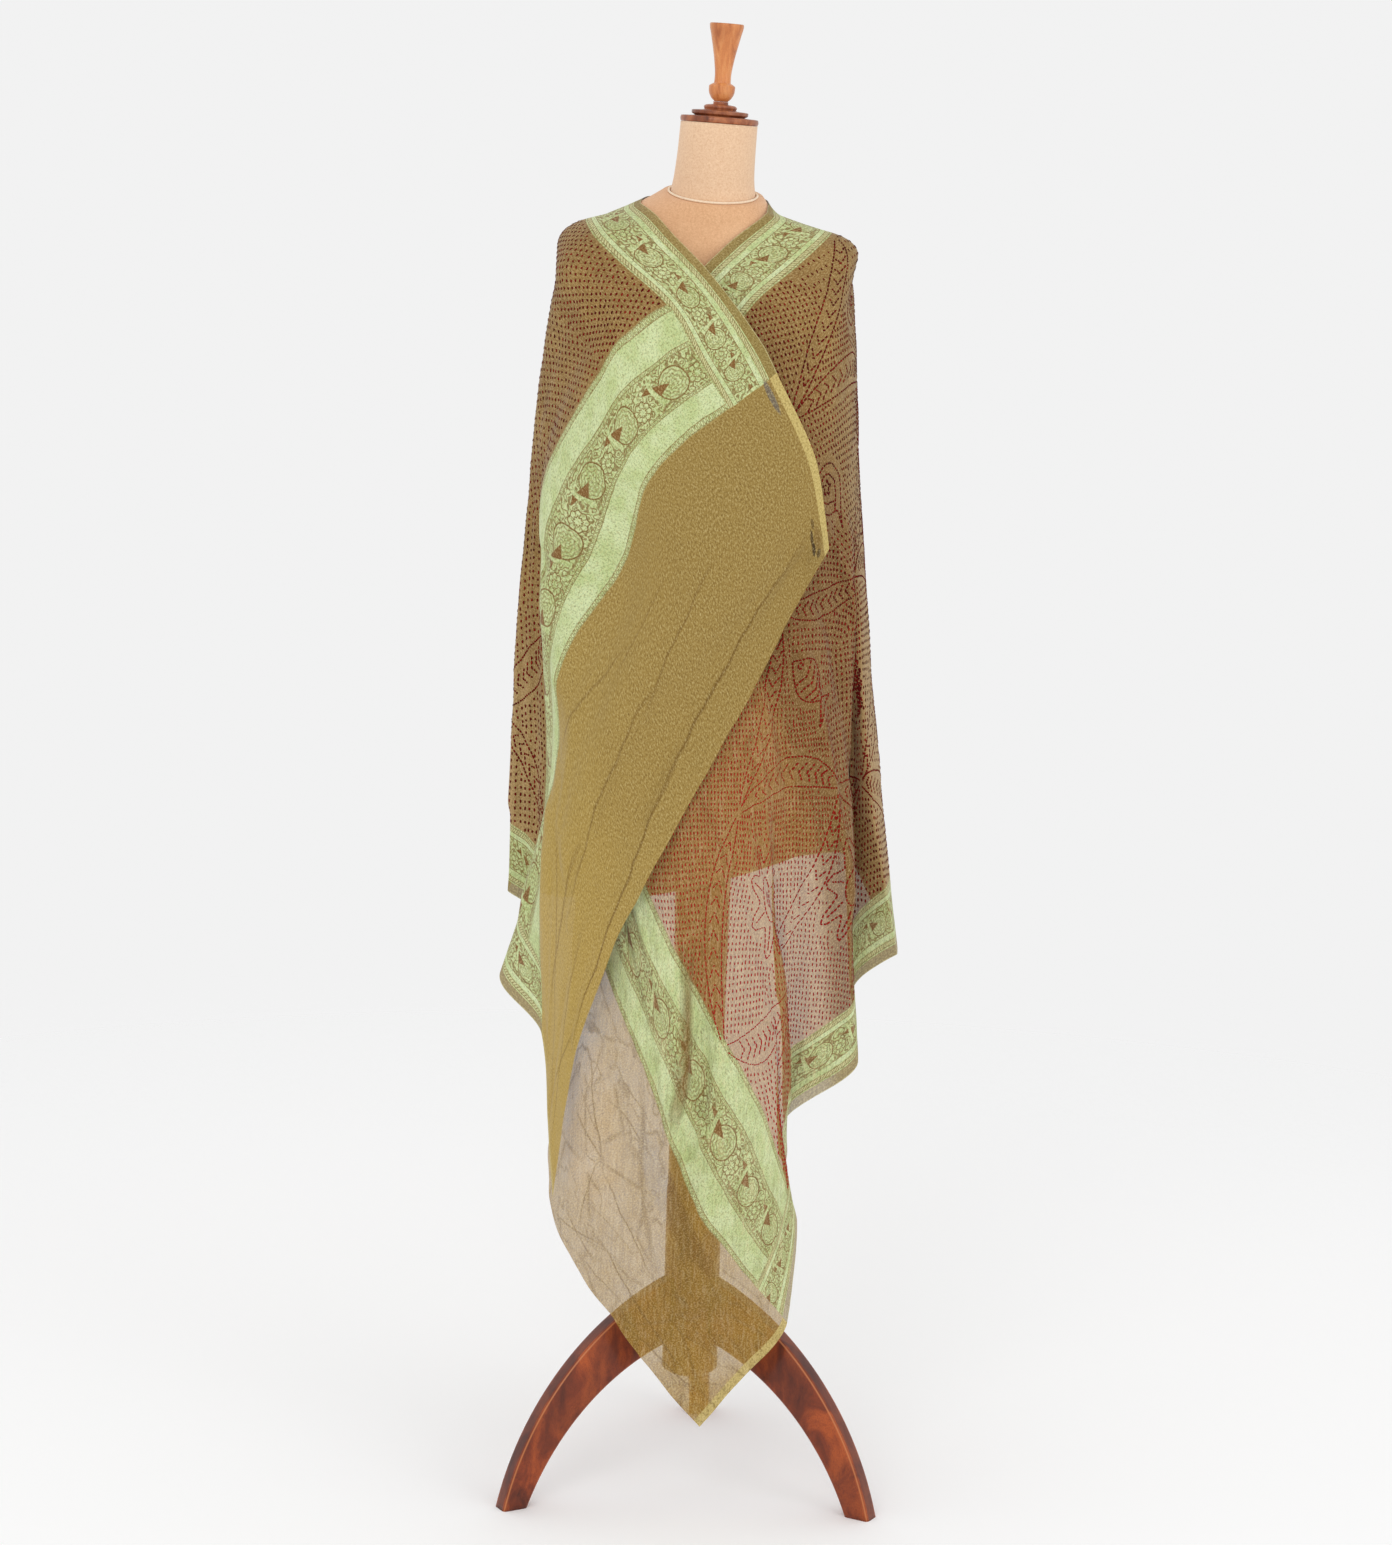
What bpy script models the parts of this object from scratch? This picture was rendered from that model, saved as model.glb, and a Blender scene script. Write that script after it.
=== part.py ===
# A banarasi georgette dupatta draped over a dress form on a wooden tripod stand
from collections import namedtuple
from math import acos, asin, cos, pi, radians, sin, sqrt, tan

import bmesh
import bpy
from mathutils import Matrix, Vector
from mathutils.bvhtree import BVHTree

# Driving sizes in metres; the stand's axis is upright at the origin before the shift, and -Y faces the camera
cloth_length = 1.90
cloth_width = 0.90
cloth_thickness = 0.0016
cloth_steps_along = 88
cloth_steps_across = 32
cloth_clearance = 0.0018
clearance_passes = 8
seat_gap = 0.0003
centring_shift = Vector((0.001, -0.0465, 0.0))

# How the photograph sees the form, so that its pixels become real places
metres_per_pixel = 0.0012
photo_middle_x = 696.0
photo_middle_y = 772.5
horizon_above_middle = 630.0
stand_axis_pixel = 10.0
camera_distance = 4.5
eye_height = 1.6
camera_roll = radians(1.6)

# Colours from the photograph, as sRGB from 0 to 255, with roughness
Finish = namedtuple("Finish", "red green blue roughness")
finishes = {
    "georgette": Finish(164, 140, 78, 0.85),
    "linen": Finish(231, 194, 158, 0.9),
    "piping_cotton": Finish(240, 214, 182, 0.8),
    "light_wood": Finish(219, 145, 97, 0.35),
    "cap_wood": Finish(139, 73, 40, 0.35),
    "dark_wood": Finish(124, 66, 34, 0.35),
}

# The dupatta hangs as a row of ribs, each a line of cloth from the neckline edge to the lower edge.
# A row gives the metres along the cloth, then the photo's x and y in pixels and the depth in millimetres,
# nearer being negative, at the neckline edge, 0.20, 0.45 and 0.68 m across the cloth, and the lower edge.
places_across = (0.0, 0.20, 0.45, 0.68, cloth_width)
Rib = namedtuple("Rib", "along neck_x neck_y neck_depth chest_x chest_y chest_depth "
                 "middle_x middle_y middle_depth low_x low_y low_depth hem_x hem_y hem_depth")
ribs = (
    Rib(0.000, 829, 549, -132, 752, 694, -148, 654, 871, -152, 579, 1040, -140, 552, 1197, -110),
    Rib(0.100, 817, 466, -126, 705, 585, -152, 604, 765, -150, 562, 950, -130, 548, 1118, -100),
    Rib(0.200, 776, 374, -128, 656, 472, -152, 571, 634, -118, 549, 835, -107, 541, 1035, -97),
    Rib(0.280, 751, 326, -131, 622, 424, -138, 549, 606, -72, 553, 800, -52, 499, 975, -50),
    Rib(0.350, 714, 277, -125, 605, 360, -118, 544, 540, -38, 547, 738, -14, 540, 928, -17),
    Rib(0.410, 676, 236, -106, 572, 318, -78, 535, 490, -8, 526, 700, 4, 528, 905, 10),
    Rib(0.450, 655, 214, -75, 555, 288, -40, 533, 480, 15, 516, 690, 18, 507, 890, 15),
    Rib(0.495, 640, 203, -25, 559, 268, 20, 535, 470, 45, 520, 675, 50, 513, 880, 50),
    Rib(0.580, 655, 200, 32, 590, 285, 95, 575, 480, 105, 565, 690, 110, 560, 895, 112),
    Rib(0.720, 709, 198, 60, 705, 340, 120, 700, 535, 122, 698, 715, 126, 697, 876, 130),
    Rib(0.860, 756, 202, 32, 815, 300, 95, 825, 490, 105, 832, 680, 110, 838, 852, 112),
    Rib(0.940, 768, 211, -25, 852, 285, 22, 860, 490, 45, 871, 700, 50, 884, 930, 50),
    Rib(1.005, 732, 241, -72, 847, 320, -35, 861, 520, 0, 876, 730, 5, 897, 945, 5),
    Rib(1.080, 700, 270, -99, 812, 385, -92, 856, 560, -55, 866, 760, -55, 896, 955, -45),
    Rib(1.170, 650, 345, -111, 757, 470, -128, 842, 610, -70, 850, 800, -34, 853, 990, -30),
    Rib(1.270, 612, 415, -110, 715, 550, -129, 808, 690, -112, 846, 870, -95, 858, 1060, -85),
    Rib(1.385, 576, 480, -92, 662, 628, -135, 748, 785, -134, 777, 955, -106, 784, 1122, -84),
    Rib(1.435, 560, 518, -80, 636, 665, -132, 728, 825, -140, 786, 995, -121, 788, 1149, -94),
    Rib(1.490, 558, 555, -52, 612, 705, -117, 703, 868, -140, 777, 1045, -138, 783, 1180, -112),
    Rib(1.570, 556, 592, -20, 592, 745, -98, 672, 945, -134, 767, 1122, -138, 797, 1222, -104),
    Rib(1.720, 572, 740, 62, 578, 880, -60, 637, 1052, -125, 697, 1210, -130, 787, 1322, -118),
    Rib(1.810, 600, 790, 85, 574, 920, -22, 580, 1090, -110, 640, 1250, -118, 745, 1375, -110),
    Rib(1.900, 625, 840, 95, 575, 1000, 30, 550, 1140, -50, 598, 1292, -100, 700, 1424, -100),
)

# Soft folds, each along a straight line on the flat cloth, in metres; a positive height stands out
Fold = namedtuple("Fold", "along across end_along end_across height half_width")
folds = (
    Fold(0.02, 0.06, 0.06, 0.50, 0.007, 0.035),
    Fold(0.07, 0.10, 0.13, 0.60, -0.006, 0.035),
    Fold(0.14, 0.24, 0.20, 0.62, 0.005, 0.035),
    Fold(0.28, 0.46, 0.30, 0.80, -0.008, 0.045),
    Fold(0.62, 0.34, 0.60, 0.90, 0.008, 0.050),
    Fold(0.71, 0.30, 0.70, 0.90, -0.008, 0.050),
    Fold(0.81, 0.34, 0.83, 0.90, 0.008, 0.050),
    Fold(1.12, 0.40, 1.27, 0.70, -0.009, 0.045),
    Fold(1.29, 0.40, 1.40, 0.72, 0.007, 0.035),
    Fold(1.56, 0.49, 1.76, 0.66, 0.007, 0.040),
    Fold(1.62, 0.60, 1.80, 0.78, -0.005, 0.035),
)

# Where the shoulders hold the cloth out, in metres on the flat cloth, and how far they move it
Shift = namedtuple("Shift", "along across reach_along reach_across sideways up")
cloth_shifts = (
    Shift(0.47, 0.10, 0.15, 0.10, -0.034, 0.012),
    Shift(0.93, 0.10, 0.14, 0.10, 0.036, 0.006),
    Shift(0.20, 0.31, 0.09, 0.11, 0.014, 0.000),
    Shift(0.20, 0.47, 0.08, 0.12, -0.013, -0.012),
    Shift(1.90, 0.57, 0.12, 0.15, -0.013, 0.000),
)

# The covered body, in rings from the recessed underside up to the neck; a drop lowers a ring's right or front
body_turn = radians(12.0)
neck_lean = radians(3.0)
torso_floor = 0.740
neck_seam = 1.538
Ring = namedtuple("Ring", "height half_width half_depth sideways forward side_drop front_drop")
torso_rings = (
    Ring(torso_floor, 0.070, 0.060, 0.000, 0.000, 0.000, 0.000),
    Ring(0.734, 0.148, 0.100, 0.000, 0.000, -0.036, 0.000),
    Ring(0.764, 0.155, 0.106, 0.000, 0.000, -0.028, 0.000),
    Ring(0.830, 0.160, 0.110, 0.000, 0.000, -0.006, 0.000),
    Ring(0.910, 0.154, 0.108, 0.000, 0.000, 0.000, 0.000),
    Ring(1.010, 0.128, 0.092, -0.002, 0.000, 0.000, 0.000),
    Ring(1.100, 0.112, 0.084, -0.004, 0.000, 0.000, 0.000),
    Ring(1.190, 0.124, 0.094, -0.006, 0.004, 0.000, 0.000),
    Ring(1.280, 0.146, 0.108, -0.008, 0.010, 0.000, 0.000),
    Ring(1.340, 0.152, 0.106, -0.009, 0.010, 0.000, 0.000),
    Ring(1.400, 0.160, 0.094, -0.010, 0.004, 0.000, 0.000),
    Ring(1.445, 0.166, 0.084, -0.012, 0.000, 0.004, 0.000),
    Ring(1.474, 0.158, 0.077, -0.013, -0.002, 0.007, 0.002),
    Ring(1.495, 0.136, 0.070, -0.013, -0.003, 0.009, 0.005),
    Ring(1.512, 0.098, 0.067, -0.013, -0.004, 0.008, 0.009),
    Ring(1.526, 0.074, 0.066, -0.012, -0.004, 0.005, 0.012),
    Ring(neck_seam, 0.061, 0.063, -0.011, -0.004, 0.000, 0.013),
)
neck_rings = (
    Ring(neck_seam + seat_gap, 0.051, 0.053, -0.011, -0.004, 0.000, 0.0109),
    Ring(1.560, 0.048, 0.050, -0.010, 0.000, 0.0005, 0.009),
    Ring(1.590, 0.0465, 0.049, -0.008, 0.005, 0.0015, 0.004),
    Ring(1.623, 0.046, 0.048, -0.006, 0.010, 0.046 * tan(neck_lean) * cos(body_turn),
         0.048 * tan(neck_lean) * sin(body_turn)),
)
body_sides = 36
piping_radius = 0.0024

# Turned pieces, as radius and height above their own foot
Turn = namedtuple("Turn", "radius height")
cap_profile = (
    Turn(0.046, 0.000), Turn(0.047, 0.0035), Turn(0.046, 0.007), Turn(0.030, 0.0085), Turn(0.034, 0.011),
    Turn(0.034, 0.014), Turn(0.019, 0.0165), Turn(0.020, 0.019), Turn(0.018, 0.0215), Turn(0.009, 0.0235),
    Turn(0.009, 0.0260),
)
finial_profile = (
    Turn(0.0080, 0.000), Turn(0.0125, 0.0045), Turn(0.0155, 0.012), Turn(0.0158, 0.018), Turn(0.0130, 0.0205),
    Turn(0.0100, 0.0225), Turn(0.0098, 0.030), Turn(0.0118, 0.048), Turn(0.0148, 0.064), Turn(0.0180, 0.079),
    Turn(0.0205, 0.0915), Turn(0.0200, 0.0935),
)
column_foot = 0.128
hub_radius = 0.033
column_profile = (
    Turn(0.026, 0.000), Turn(hub_radius, 0.006), Turn(hub_radius, 0.215), Turn(0.032, 0.225),
    Turn(0.031, 0.420), Turn(0.033, 0.560), Turn(0.034, torso_floor - seat_gap - column_foot),
)
turned_sides = 24

# Each leg is a tapering band between two arcs in an upright plane through the column's axis
leg_arc_radius = 0.349
leg_arc_out = -0.087
leg_arc_height = -0.085
leg_depth_at_hub = 0.068
leg_depth_at_foot = 0.031
leg_thickness = 0.024
leg_edge_round = 0.003
leg_steps = 12
leg_directions = {"leg_left": radians(-60.0), "leg_right": radians(60.0), "leg_back": radians(176.5)}


def to_linear(channel):
    part = channel / 255.0
    return part / 12.92 if part <= 0.04045 else ((part + 0.055) / 1.055) ** 2.4


def make_material(name):
    finish = finishes[name]
    material = bpy.data.materials.new(name)
    material.use_nodes = True
    shader = material.node_tree.nodes["Principled BSDF"]
    shader.inputs["Base Color"].default_value = (*map(to_linear, finish[:3]), 1.0)
    shader.inputs["Roughness"].default_value = finish.roughness
    shader.inputs["Metallic"].default_value = 0.0
    return material


def add_object(name, mesh_parts, material):
    mesh = bpy.data.meshes.new(name)
    bmesh.ops.recalc_face_normals(mesh_parts, faces=mesh_parts.faces)
    mesh_parts.to_mesh(mesh)
    mesh_parts.free()
    mesh.materials.append(material)
    piece = bpy.data.objects.new(name, mesh)
    bpy.context.collection.objects.link(piece)
    piece.parent = whole
    return piece


def place_from_photo(photo_x, photo_y, depth):
    right = photo_x - photo_middle_x
    up = photo_middle_y - photo_y
    scale = metres_per_pixel * (camera_distance + depth) / camera_distance
    upright_x = right * cos(camera_roll) - up * sin(camera_roll) - stand_axis_pixel
    upright_z = right * sin(camera_roll) + up * cos(camera_roll)
    return Vector((upright_x * scale, depth, eye_height + (upright_z - horizon_above_middle) * scale))


def knot_slope(before, after):
    both = before + after
    return 2.0 * before * after / both if before * after > 0.0 else 0.0


def slopes(knots, values):
    rises = [(values[i + 1] - values[i]) / (knots[i + 1] - knots[i]) for i in range(len(knots) - 1)]
    inner = [Vector(map(knot_slope, one, other)) for one, other in zip(rises, rises[1:])]
    return [rises[0]] + inner + [rises[-1]]


def smooth_curve(knots, values, at):
    grades = slopes(knots, values)
    i = max(j for j in range(len(knots) - 1) if knots[j] <= at or j == 0)
    span = knots[i + 1] - knots[i]
    part = (at - knots[i]) / span
    rest = 1.0 - part
    return (values[i] * (1.0 + 2.0 * part) * rest * rest + grades[i] * span * part * rest * rest
            + values[i + 1] * part * part * (3.0 - 2.0 * part) - grades[i + 1] * span * part * part * rest)


def rib_spots(rib):
    spots = zip(rib[1::3], rib[2::3], rib[3::3])
    return [place_from_photo(x, y, depth / 1000.0) for x, y, depth in spots]


def cloth_grid():
    knots = [rib.along for rib in ribs]
    lines = list(zip(*(rib_spots(rib) for rib in ribs)))
    grid = []
    for step in range(cloth_steps_along + 1):
        along = cloth_length * step / cloth_steps_along
        spots = [smooth_curve(knots, line, along) for line in lines]
        row = []
        for cross_step in range(cloth_steps_across + 1):
            across = cloth_width * cross_step / cloth_steps_across
            row.append(smooth_curve(places_across, spots, across))
        grid.append(row)
    return grid


def fold_height(along, across):
    total = 0.0
    for fold in folds:
        run = Vector((fold.end_along - fold.along, fold.end_across - fold.across))
        here = Vector((along - fold.along, across - fold.across))
        part = min(max(here.dot(run) / run.length_squared, 0.0), 1.0)
        away = (here - run * part).length / fold.half_width
        if away < 1.0:
            total += fold.height * (1.0 - away * away) ** 2
    return total


def corner_shift(along, across):
    shift = Vector()
    for corner in cloth_shifts:
        away_along = abs(along - corner.along) / corner.reach_along
        away_across = abs(across - corner.across) / corner.reach_across
        if away_along < 1.0 and away_across < 1.0:
            share = (1.0 - away_along * away_along) ** 2 * (1.0 - away_across * away_across) ** 2
            shift += Vector((corner.sideways, 0.0, corner.up)) * share
    return shift


def folded(grid):
    result = []
    for i, row in enumerate(grid):
        new_row = []
        for j, point in enumerate(row):
            lengthwise = grid[min(i + 1, len(grid) - 1)][j] - grid[max(i - 1, 0)][j]
            crosswise = row[min(j + 1, len(row) - 1)] - row[max(j - 1, 0)]
            facing = crosswise.cross(lengthwise).normalized()
            along = cloth_length * i / cloth_steps_along
            across = cloth_width * j / cloth_steps_across
            new_row.append(point + facing * fold_height(along, across) + corner_shift(along, across))
        result.append(new_row)
    return result


def keep_clear(grid, body):
    for _ in range(clearance_passes):
        pushes = {}
        for i in range(cloth_steps_along):
            for j in range(cloth_steps_across):
                places = ((i, j), (i, j + 1), (i + 1, j + 1), (i + 1, j))
                corners = [grid[row][column] for row, column in places]
                middles = [(one + other) / 2.0 for one, other in zip(corners, corners[1:] + corners[:1])]
                for sample in corners + middles + [sum(corners, Vector()) / 4.0]:
                    spot, facing, _, _ = body.find_nearest(sample)
                    lack = cloth_clearance - (sample - spot).dot(facing)
                    for place in places:
                        if lack > 0.0 and lack > pushes.get(place, (0.0, None))[0]:
                            pushes[place] = (lack, facing)
        for (row, column), (lack, facing) in pushes.items():
            grid[row][column] += facing * lack


def make_dupatta(body):
    parts = bmesh.new()
    grid = folded(cloth_grid())
    keep_clear(grid, body)
    verts = [[parts.verts.new(point) for point in row] for row in grid]
    for low, high in zip(verts, verts[1:]):
        for j in range(cloth_steps_across):
            parts.faces.new((low[j], low[j + 1], high[j + 1], high[j]))
    dupatta = add_object("dupatta", parts, make_material("georgette"))
    thicken = dupatta.modifiers.new("thickness", "SOLIDIFY")
    thicken.thickness = cloth_thickness
    thicken.offset = 0.0
    return dupatta


def body_point(ring, angle):
    wide = ring.half_width * sin(angle)
    deep = ring.half_depth * cos(angle)
    level = ring.height - ring.side_drop * sin(angle) - ring.front_drop * cos(angle)
    turned_x = wide * cos(body_turn) + deep * sin(body_turn)
    turned_y = wide * sin(body_turn) - deep * cos(body_turn)
    return Vector((ring.sideways + turned_x, turned_y - ring.forward, level))


def make_rings(rings):
    parts = bmesh.new()
    loops = []
    for ring in rings:
        angles = [2.0 * pi * side / body_sides for side in range(body_sides)]
        loops.append([parts.verts.new(body_point(ring, angle)) for angle in angles])
    for low, high in zip(loops, loops[1:]):
        for side in range(body_sides):
            after = (side + 1) % body_sides
            parts.faces.new((low[side], low[after], high[after], high[side]))
    parts.faces.new(list(reversed(loops[0])))
    parts.faces.new(loops[-1])
    return parts


def make_piping():
    parts = bmesh.new()
    neck = neck_rings[0]
    seam = torso_rings[-1]
    margin = seat_gap + piping_radius + 0.0004
    wide = neck.half_width + margin
    deep = neck.half_depth + margin
    slope = seam.front_drop / seam.half_depth
    ring = Ring(seam.height, wide, deep, neck.sideways, neck.forward, 0.0, slope * deep)
    lift = (piping_radius + seat_gap) * sqrt(1.0 + slope * slope)
    loops = []
    cord_sides = 8
    for side in range(body_sides):
        angle = 2.0 * pi * side / body_sides
        middle = body_point(ring, angle) + Vector((0.0, 0.0, lift))
        outward = body_point(ring, angle) - Vector((ring.sideways, -ring.forward, ring.height))
        outward.z = 0.0
        outward.normalize()
        loop = []
        for corner in range(cord_sides):
            turn = 2.0 * pi * corner / cord_sides
            offset = outward * (piping_radius * cos(turn)) + Vector((0.0, 0.0, piping_radius * sin(turn)))
            loop.append(parts.verts.new(middle + offset))
        loops.append(loop)
    for side in range(body_sides):
        here = loops[side]
        after = loops[(side + 1) % body_sides]
        for corner in range(cord_sides):
            next_corner = (corner + 1) % cord_sides
            parts.faces.new((here[corner], here[next_corner], after[next_corner], after[corner]))
    return parts


def make_turned(profile):
    parts = bmesh.new()
    foot = parts.verts.new((0.0, 0.0, profile[0].height))
    verts = [foot] + [parts.verts.new((turn.radius, 0.0, turn.height)) for turn in profile]
    verts.append(parts.verts.new((0.0, 0.0, profile[-1].height)))
    edges = [parts.edges.new(pair) for pair in zip(verts, verts[1:])]
    bmesh.ops.spin(parts, geom=verts + edges, cent=(0.0, 0.0, 0.0), axis=(0.0, 0.0, 1.0), angle=2.0 * pi,
                   steps=turned_sides, use_merge=True)
    bmesh.ops.remove_doubles(parts, verts=parts.verts, dist=0.00001)
    return parts


def leg_depth(angle, first, last):
    part = (angle - first) / (last - first)
    return leg_depth_at_hub + (leg_depth_at_foot - leg_depth_at_hub) * part


def leg_point(radius, angle):
    return leg_arc_out + radius * sin(angle), leg_arc_height + radius * cos(angle)


def leg_outline():
    start = hub_radius * cos(pi / turned_sides) + seat_gap
    first = asin((start - leg_arc_out) / leg_arc_radius)
    last = acos(-leg_arc_height / leg_arc_radius)
    inner_radius = leg_arc_radius - leg_depth_at_hub
    inner_first = asin((start - leg_arc_out) / inner_radius)
    inner_last = acos(-leg_arc_height / (leg_arc_radius - leg_depth_at_foot))
    outline = []
    for step in range(leg_steps + 1):
        part = step / leg_steps
        outer_angle = first + (last - first) * part
        inner_angle = inner_first + (inner_last - inner_first) * part
        inner = leg_arc_radius - leg_depth(inner_angle, inner_first, inner_last)
        outline.append((leg_point(leg_arc_radius, outer_angle), leg_point(inner, inner_angle)))
    return outline


def make_leg():
    parts = bmesh.new()
    loops = []
    for outer, inner in leg_outline():
        loop = []
        for (out, level), side in ((outer, -0.5), (outer, 0.5), (inner, 0.5), (inner, -0.5)):
            loop.append(parts.verts.new((side * leg_thickness, -out, level)))
        loops.append(loop)
    for low, high in zip(loops, loops[1:]):
        for corner in range(4):
            after = (corner + 1) % 4
            parts.faces.new((low[corner], low[after], high[after], high[corner]))
    parts.faces.new(loops[0])
    parts.faces.new(loops[-1])
    long_edges = [parts.edges.get(pair) for low, high in zip(loops, loops[1:]) for pair in zip(low, high)]
    bmesh.ops.bevel(parts, geom=long_edges, affect="EDGES", offset=leg_edge_round, segments=2, profile=0.5)
    return parts


def surface_tree(piece):
    points = [vert.co.copy() for vert in piece.data.vertices]
    return BVHTree.FromPolygons(points, [tuple(face.vertices) for face in piece.data.polygons])


for leftover in list(bpy.data.objects):
    bpy.data.objects.remove(leftover)

whole = bpy.data.objects.new("whole", None)
bpy.context.collection.objects.link(whole)
whole.location = centring_shift

linen = make_material("linen")
cap_wood = make_material("cap_wood")
light_wood = make_material("light_wood")
dark_wood = make_material("dark_wood")

torso = add_object("torso", make_rings(torso_rings), linen)
add_object("neck", make_rings(neck_rings), linen)
add_object("neck_piping", make_piping(), make_material("piping_cotton"))

lean = Matrix.Rotation(neck_lean, 4, "Y")
neck_top = Vector((neck_rings[-1].sideways, -neck_rings[-1].forward, neck_rings[-1].height))
cap = add_object("neck_cap", make_turned(cap_profile), cap_wood)
cap.location = neck_top + lean @ Vector((0.0, 0.0, seat_gap))
cap.rotation_euler = (0.0, neck_lean, 0.0)
finial = add_object("finial", make_turned(finial_profile), light_wood)
finial.location = cap.location + lean @ Vector((0.0, 0.0, cap_profile[-1].height + seat_gap))
finial.rotation_euler = (0.0, neck_lean, 0.0)

column = add_object("column", make_turned(column_profile), dark_wood)
column.location = (0.0, 0.0, column_foot)

for name, direction in leg_directions.items():
    leg = add_object(name, make_leg(), dark_wood)
    leg.rotation_euler = (0.0, 0.0, direction)

make_dupatta(surface_tree(torso))
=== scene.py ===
from collections import namedtuple
from math import acos, asin, atan2, cos, pi, radians, sin, sqrt, tan
from random import Random

import bmesh
import bpy
import numpy as np
from mathutils import Matrix, Vector, noise
from mathutils.bvhtree import BVHTree


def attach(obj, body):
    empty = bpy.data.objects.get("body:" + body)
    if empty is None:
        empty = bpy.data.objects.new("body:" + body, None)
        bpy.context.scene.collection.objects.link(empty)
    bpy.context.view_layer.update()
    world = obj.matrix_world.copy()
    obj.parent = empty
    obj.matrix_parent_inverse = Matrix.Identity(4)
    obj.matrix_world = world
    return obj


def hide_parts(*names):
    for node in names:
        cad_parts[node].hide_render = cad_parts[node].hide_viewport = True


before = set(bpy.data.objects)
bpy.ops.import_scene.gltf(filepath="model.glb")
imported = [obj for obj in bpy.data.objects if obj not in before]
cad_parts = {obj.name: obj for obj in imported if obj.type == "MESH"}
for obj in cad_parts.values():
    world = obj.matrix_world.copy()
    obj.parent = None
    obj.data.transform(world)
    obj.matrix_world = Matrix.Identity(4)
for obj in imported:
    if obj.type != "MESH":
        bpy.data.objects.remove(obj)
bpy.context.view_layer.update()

scene = bpy.context.scene


# how the photograph sees the stand
view = {
    "imageWidth": 1392, "imageHeight": 1545,
    "metresPerPixel": 0.0012,  # at the stand's own depth
    "distance": 4.5, "eyeHeight": 1.6,
    "horizonAboveMiddle": 630.0, "standAxisPixel": 10.0,
    "roll": radians(1.6), "sensor": 36.0, "clipStart": 0.05,
    "standShift": (0.001, -0.0465, 0.0),
}


def placeFromPhoto(photoX, photoY, depth):
    # photo pixels and a depth in metres, as arrays, give points in the frame
    right = photoX - view["imageWidth"] / 2
    up = view["imageHeight"] / 2 - photoY
    scale = view["metresPerPixel"] * (view["distance"] + depth) / view["distance"]
    turn = view["roll"]
    uprightX = right * cos(turn) - up * sin(turn) - view["standAxisPixel"]
    uprightZ = right * sin(turn) + up * cos(turn)
    height = view["eyeHeight"] + (uprightZ - view["horizonAboveMiddle"]) * scale
    shift = view["standShift"]
    return np.stack([uprightX * scale + shift[0], depth + shift[1], height], axis=-1)


def makeCamera():
    lens = bpy.data.cameras.new("photoCamera")
    camera = bpy.data.objects.new("photoCamera", lens)
    scene.collection.objects.link(camera)
    width = view["imageWidth"]
    lens.sensor_fit = "HORIZONTAL"
    lens.sensor_width = view["sensor"]
    lens.lens = view["sensor"] * view["distance"] / (width * view["metresPerPixel"])
    lens.shift_x = -view["horizonAboveMiddle"] * sin(view["roll"]) / width
    lens.shift_y = -view["horizonAboveMiddle"] * cos(view["roll"]) / width
    lens.clip_start = view["clipStart"]
    shift = view["standShift"]
    place = (shift[0] - view["standAxisPixel"] * view["metresPerPixel"],
             shift[1] - view["distance"], view["eyeHeight"])
    camera.matrix_world = (Matrix.Translation(place) @ Matrix.Rotation(radians(90), 4, "X")
                           @ Matrix.Rotation(view["roll"], 4, "Z"))
    scene.camera = camera


# shader maths written as Python
class Wire:
    # a socket that takes part in sums; each sum adds its Math node
    def __init__(self, finish, socket):
        self.finish = finish
        self.socket = socket

    def math(self, operation, *others):
        values = dict(enumerate((self,) + others))
        return self.finish.add("ShaderNodeMath", {"operation": operation}, values)

    def __add__(self, other):
        return self.math("ADD", other)

    def __sub__(self, other):
        return self.math("SUBTRACT", other)

    def __mul__(self, other):
        return self.math("MULTIPLY", other)

    def __truediv__(self, other):
        return self.math("DIVIDE", other)

    def __pow__(self, other):
        return self.math("POWER", other)

    def __neg__(self):
        return self.math("MULTIPLY", -1.0)

    def __abs__(self):
        return self.math("ABSOLUTE")

    def __gt__(self, other):
        return self.math("GREATER_THAN", other)

    def __rsub__(self, other):
        return self.finish.add("ShaderNodeMath", {"operation": "SUBTRACT"}, {0: other, 1: self})

    __radd__ = __add__
    __rmul__ = __mul__

    def sine(self):
        return self.math("SINE")

    def fraction(self):
        return self.math("FRACT")

    def least(self, other):
        return self.math("MINIMUM", other)

    def most(self, other):
        return self.math("MAXIMUM", other)

    def distance(self, other):
        # from the middle, for two wires that are places across and up
        return (self * self + other * other) ** 0.5

    def dot(self, vector):
        return self.finish.add("ShaderNodeVectorMath", {"operation": "DOT_PRODUCT"}, {0: self, 1: vector},
                               output="Value")

    def step(self, edge, soft):
        # 0 below the edge, 1 above it, smooth over the soft width either side
        return self.finish.add("ShaderNodeMapRange", {"interpolation_type": "SMOOTHSTEP"},
                               {"Value": self, "From Min": edge - soft, "From Max": edge + soft})

    def under(self, edge, soft):
        return 1 - self.step(edge, soft)

    def between(self, low, high, soft):
        return self.step(low, soft) * self.under(high, soft)

    def line(self, at, half, soft):
        return abs(self - at).under(half, soft)


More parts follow.
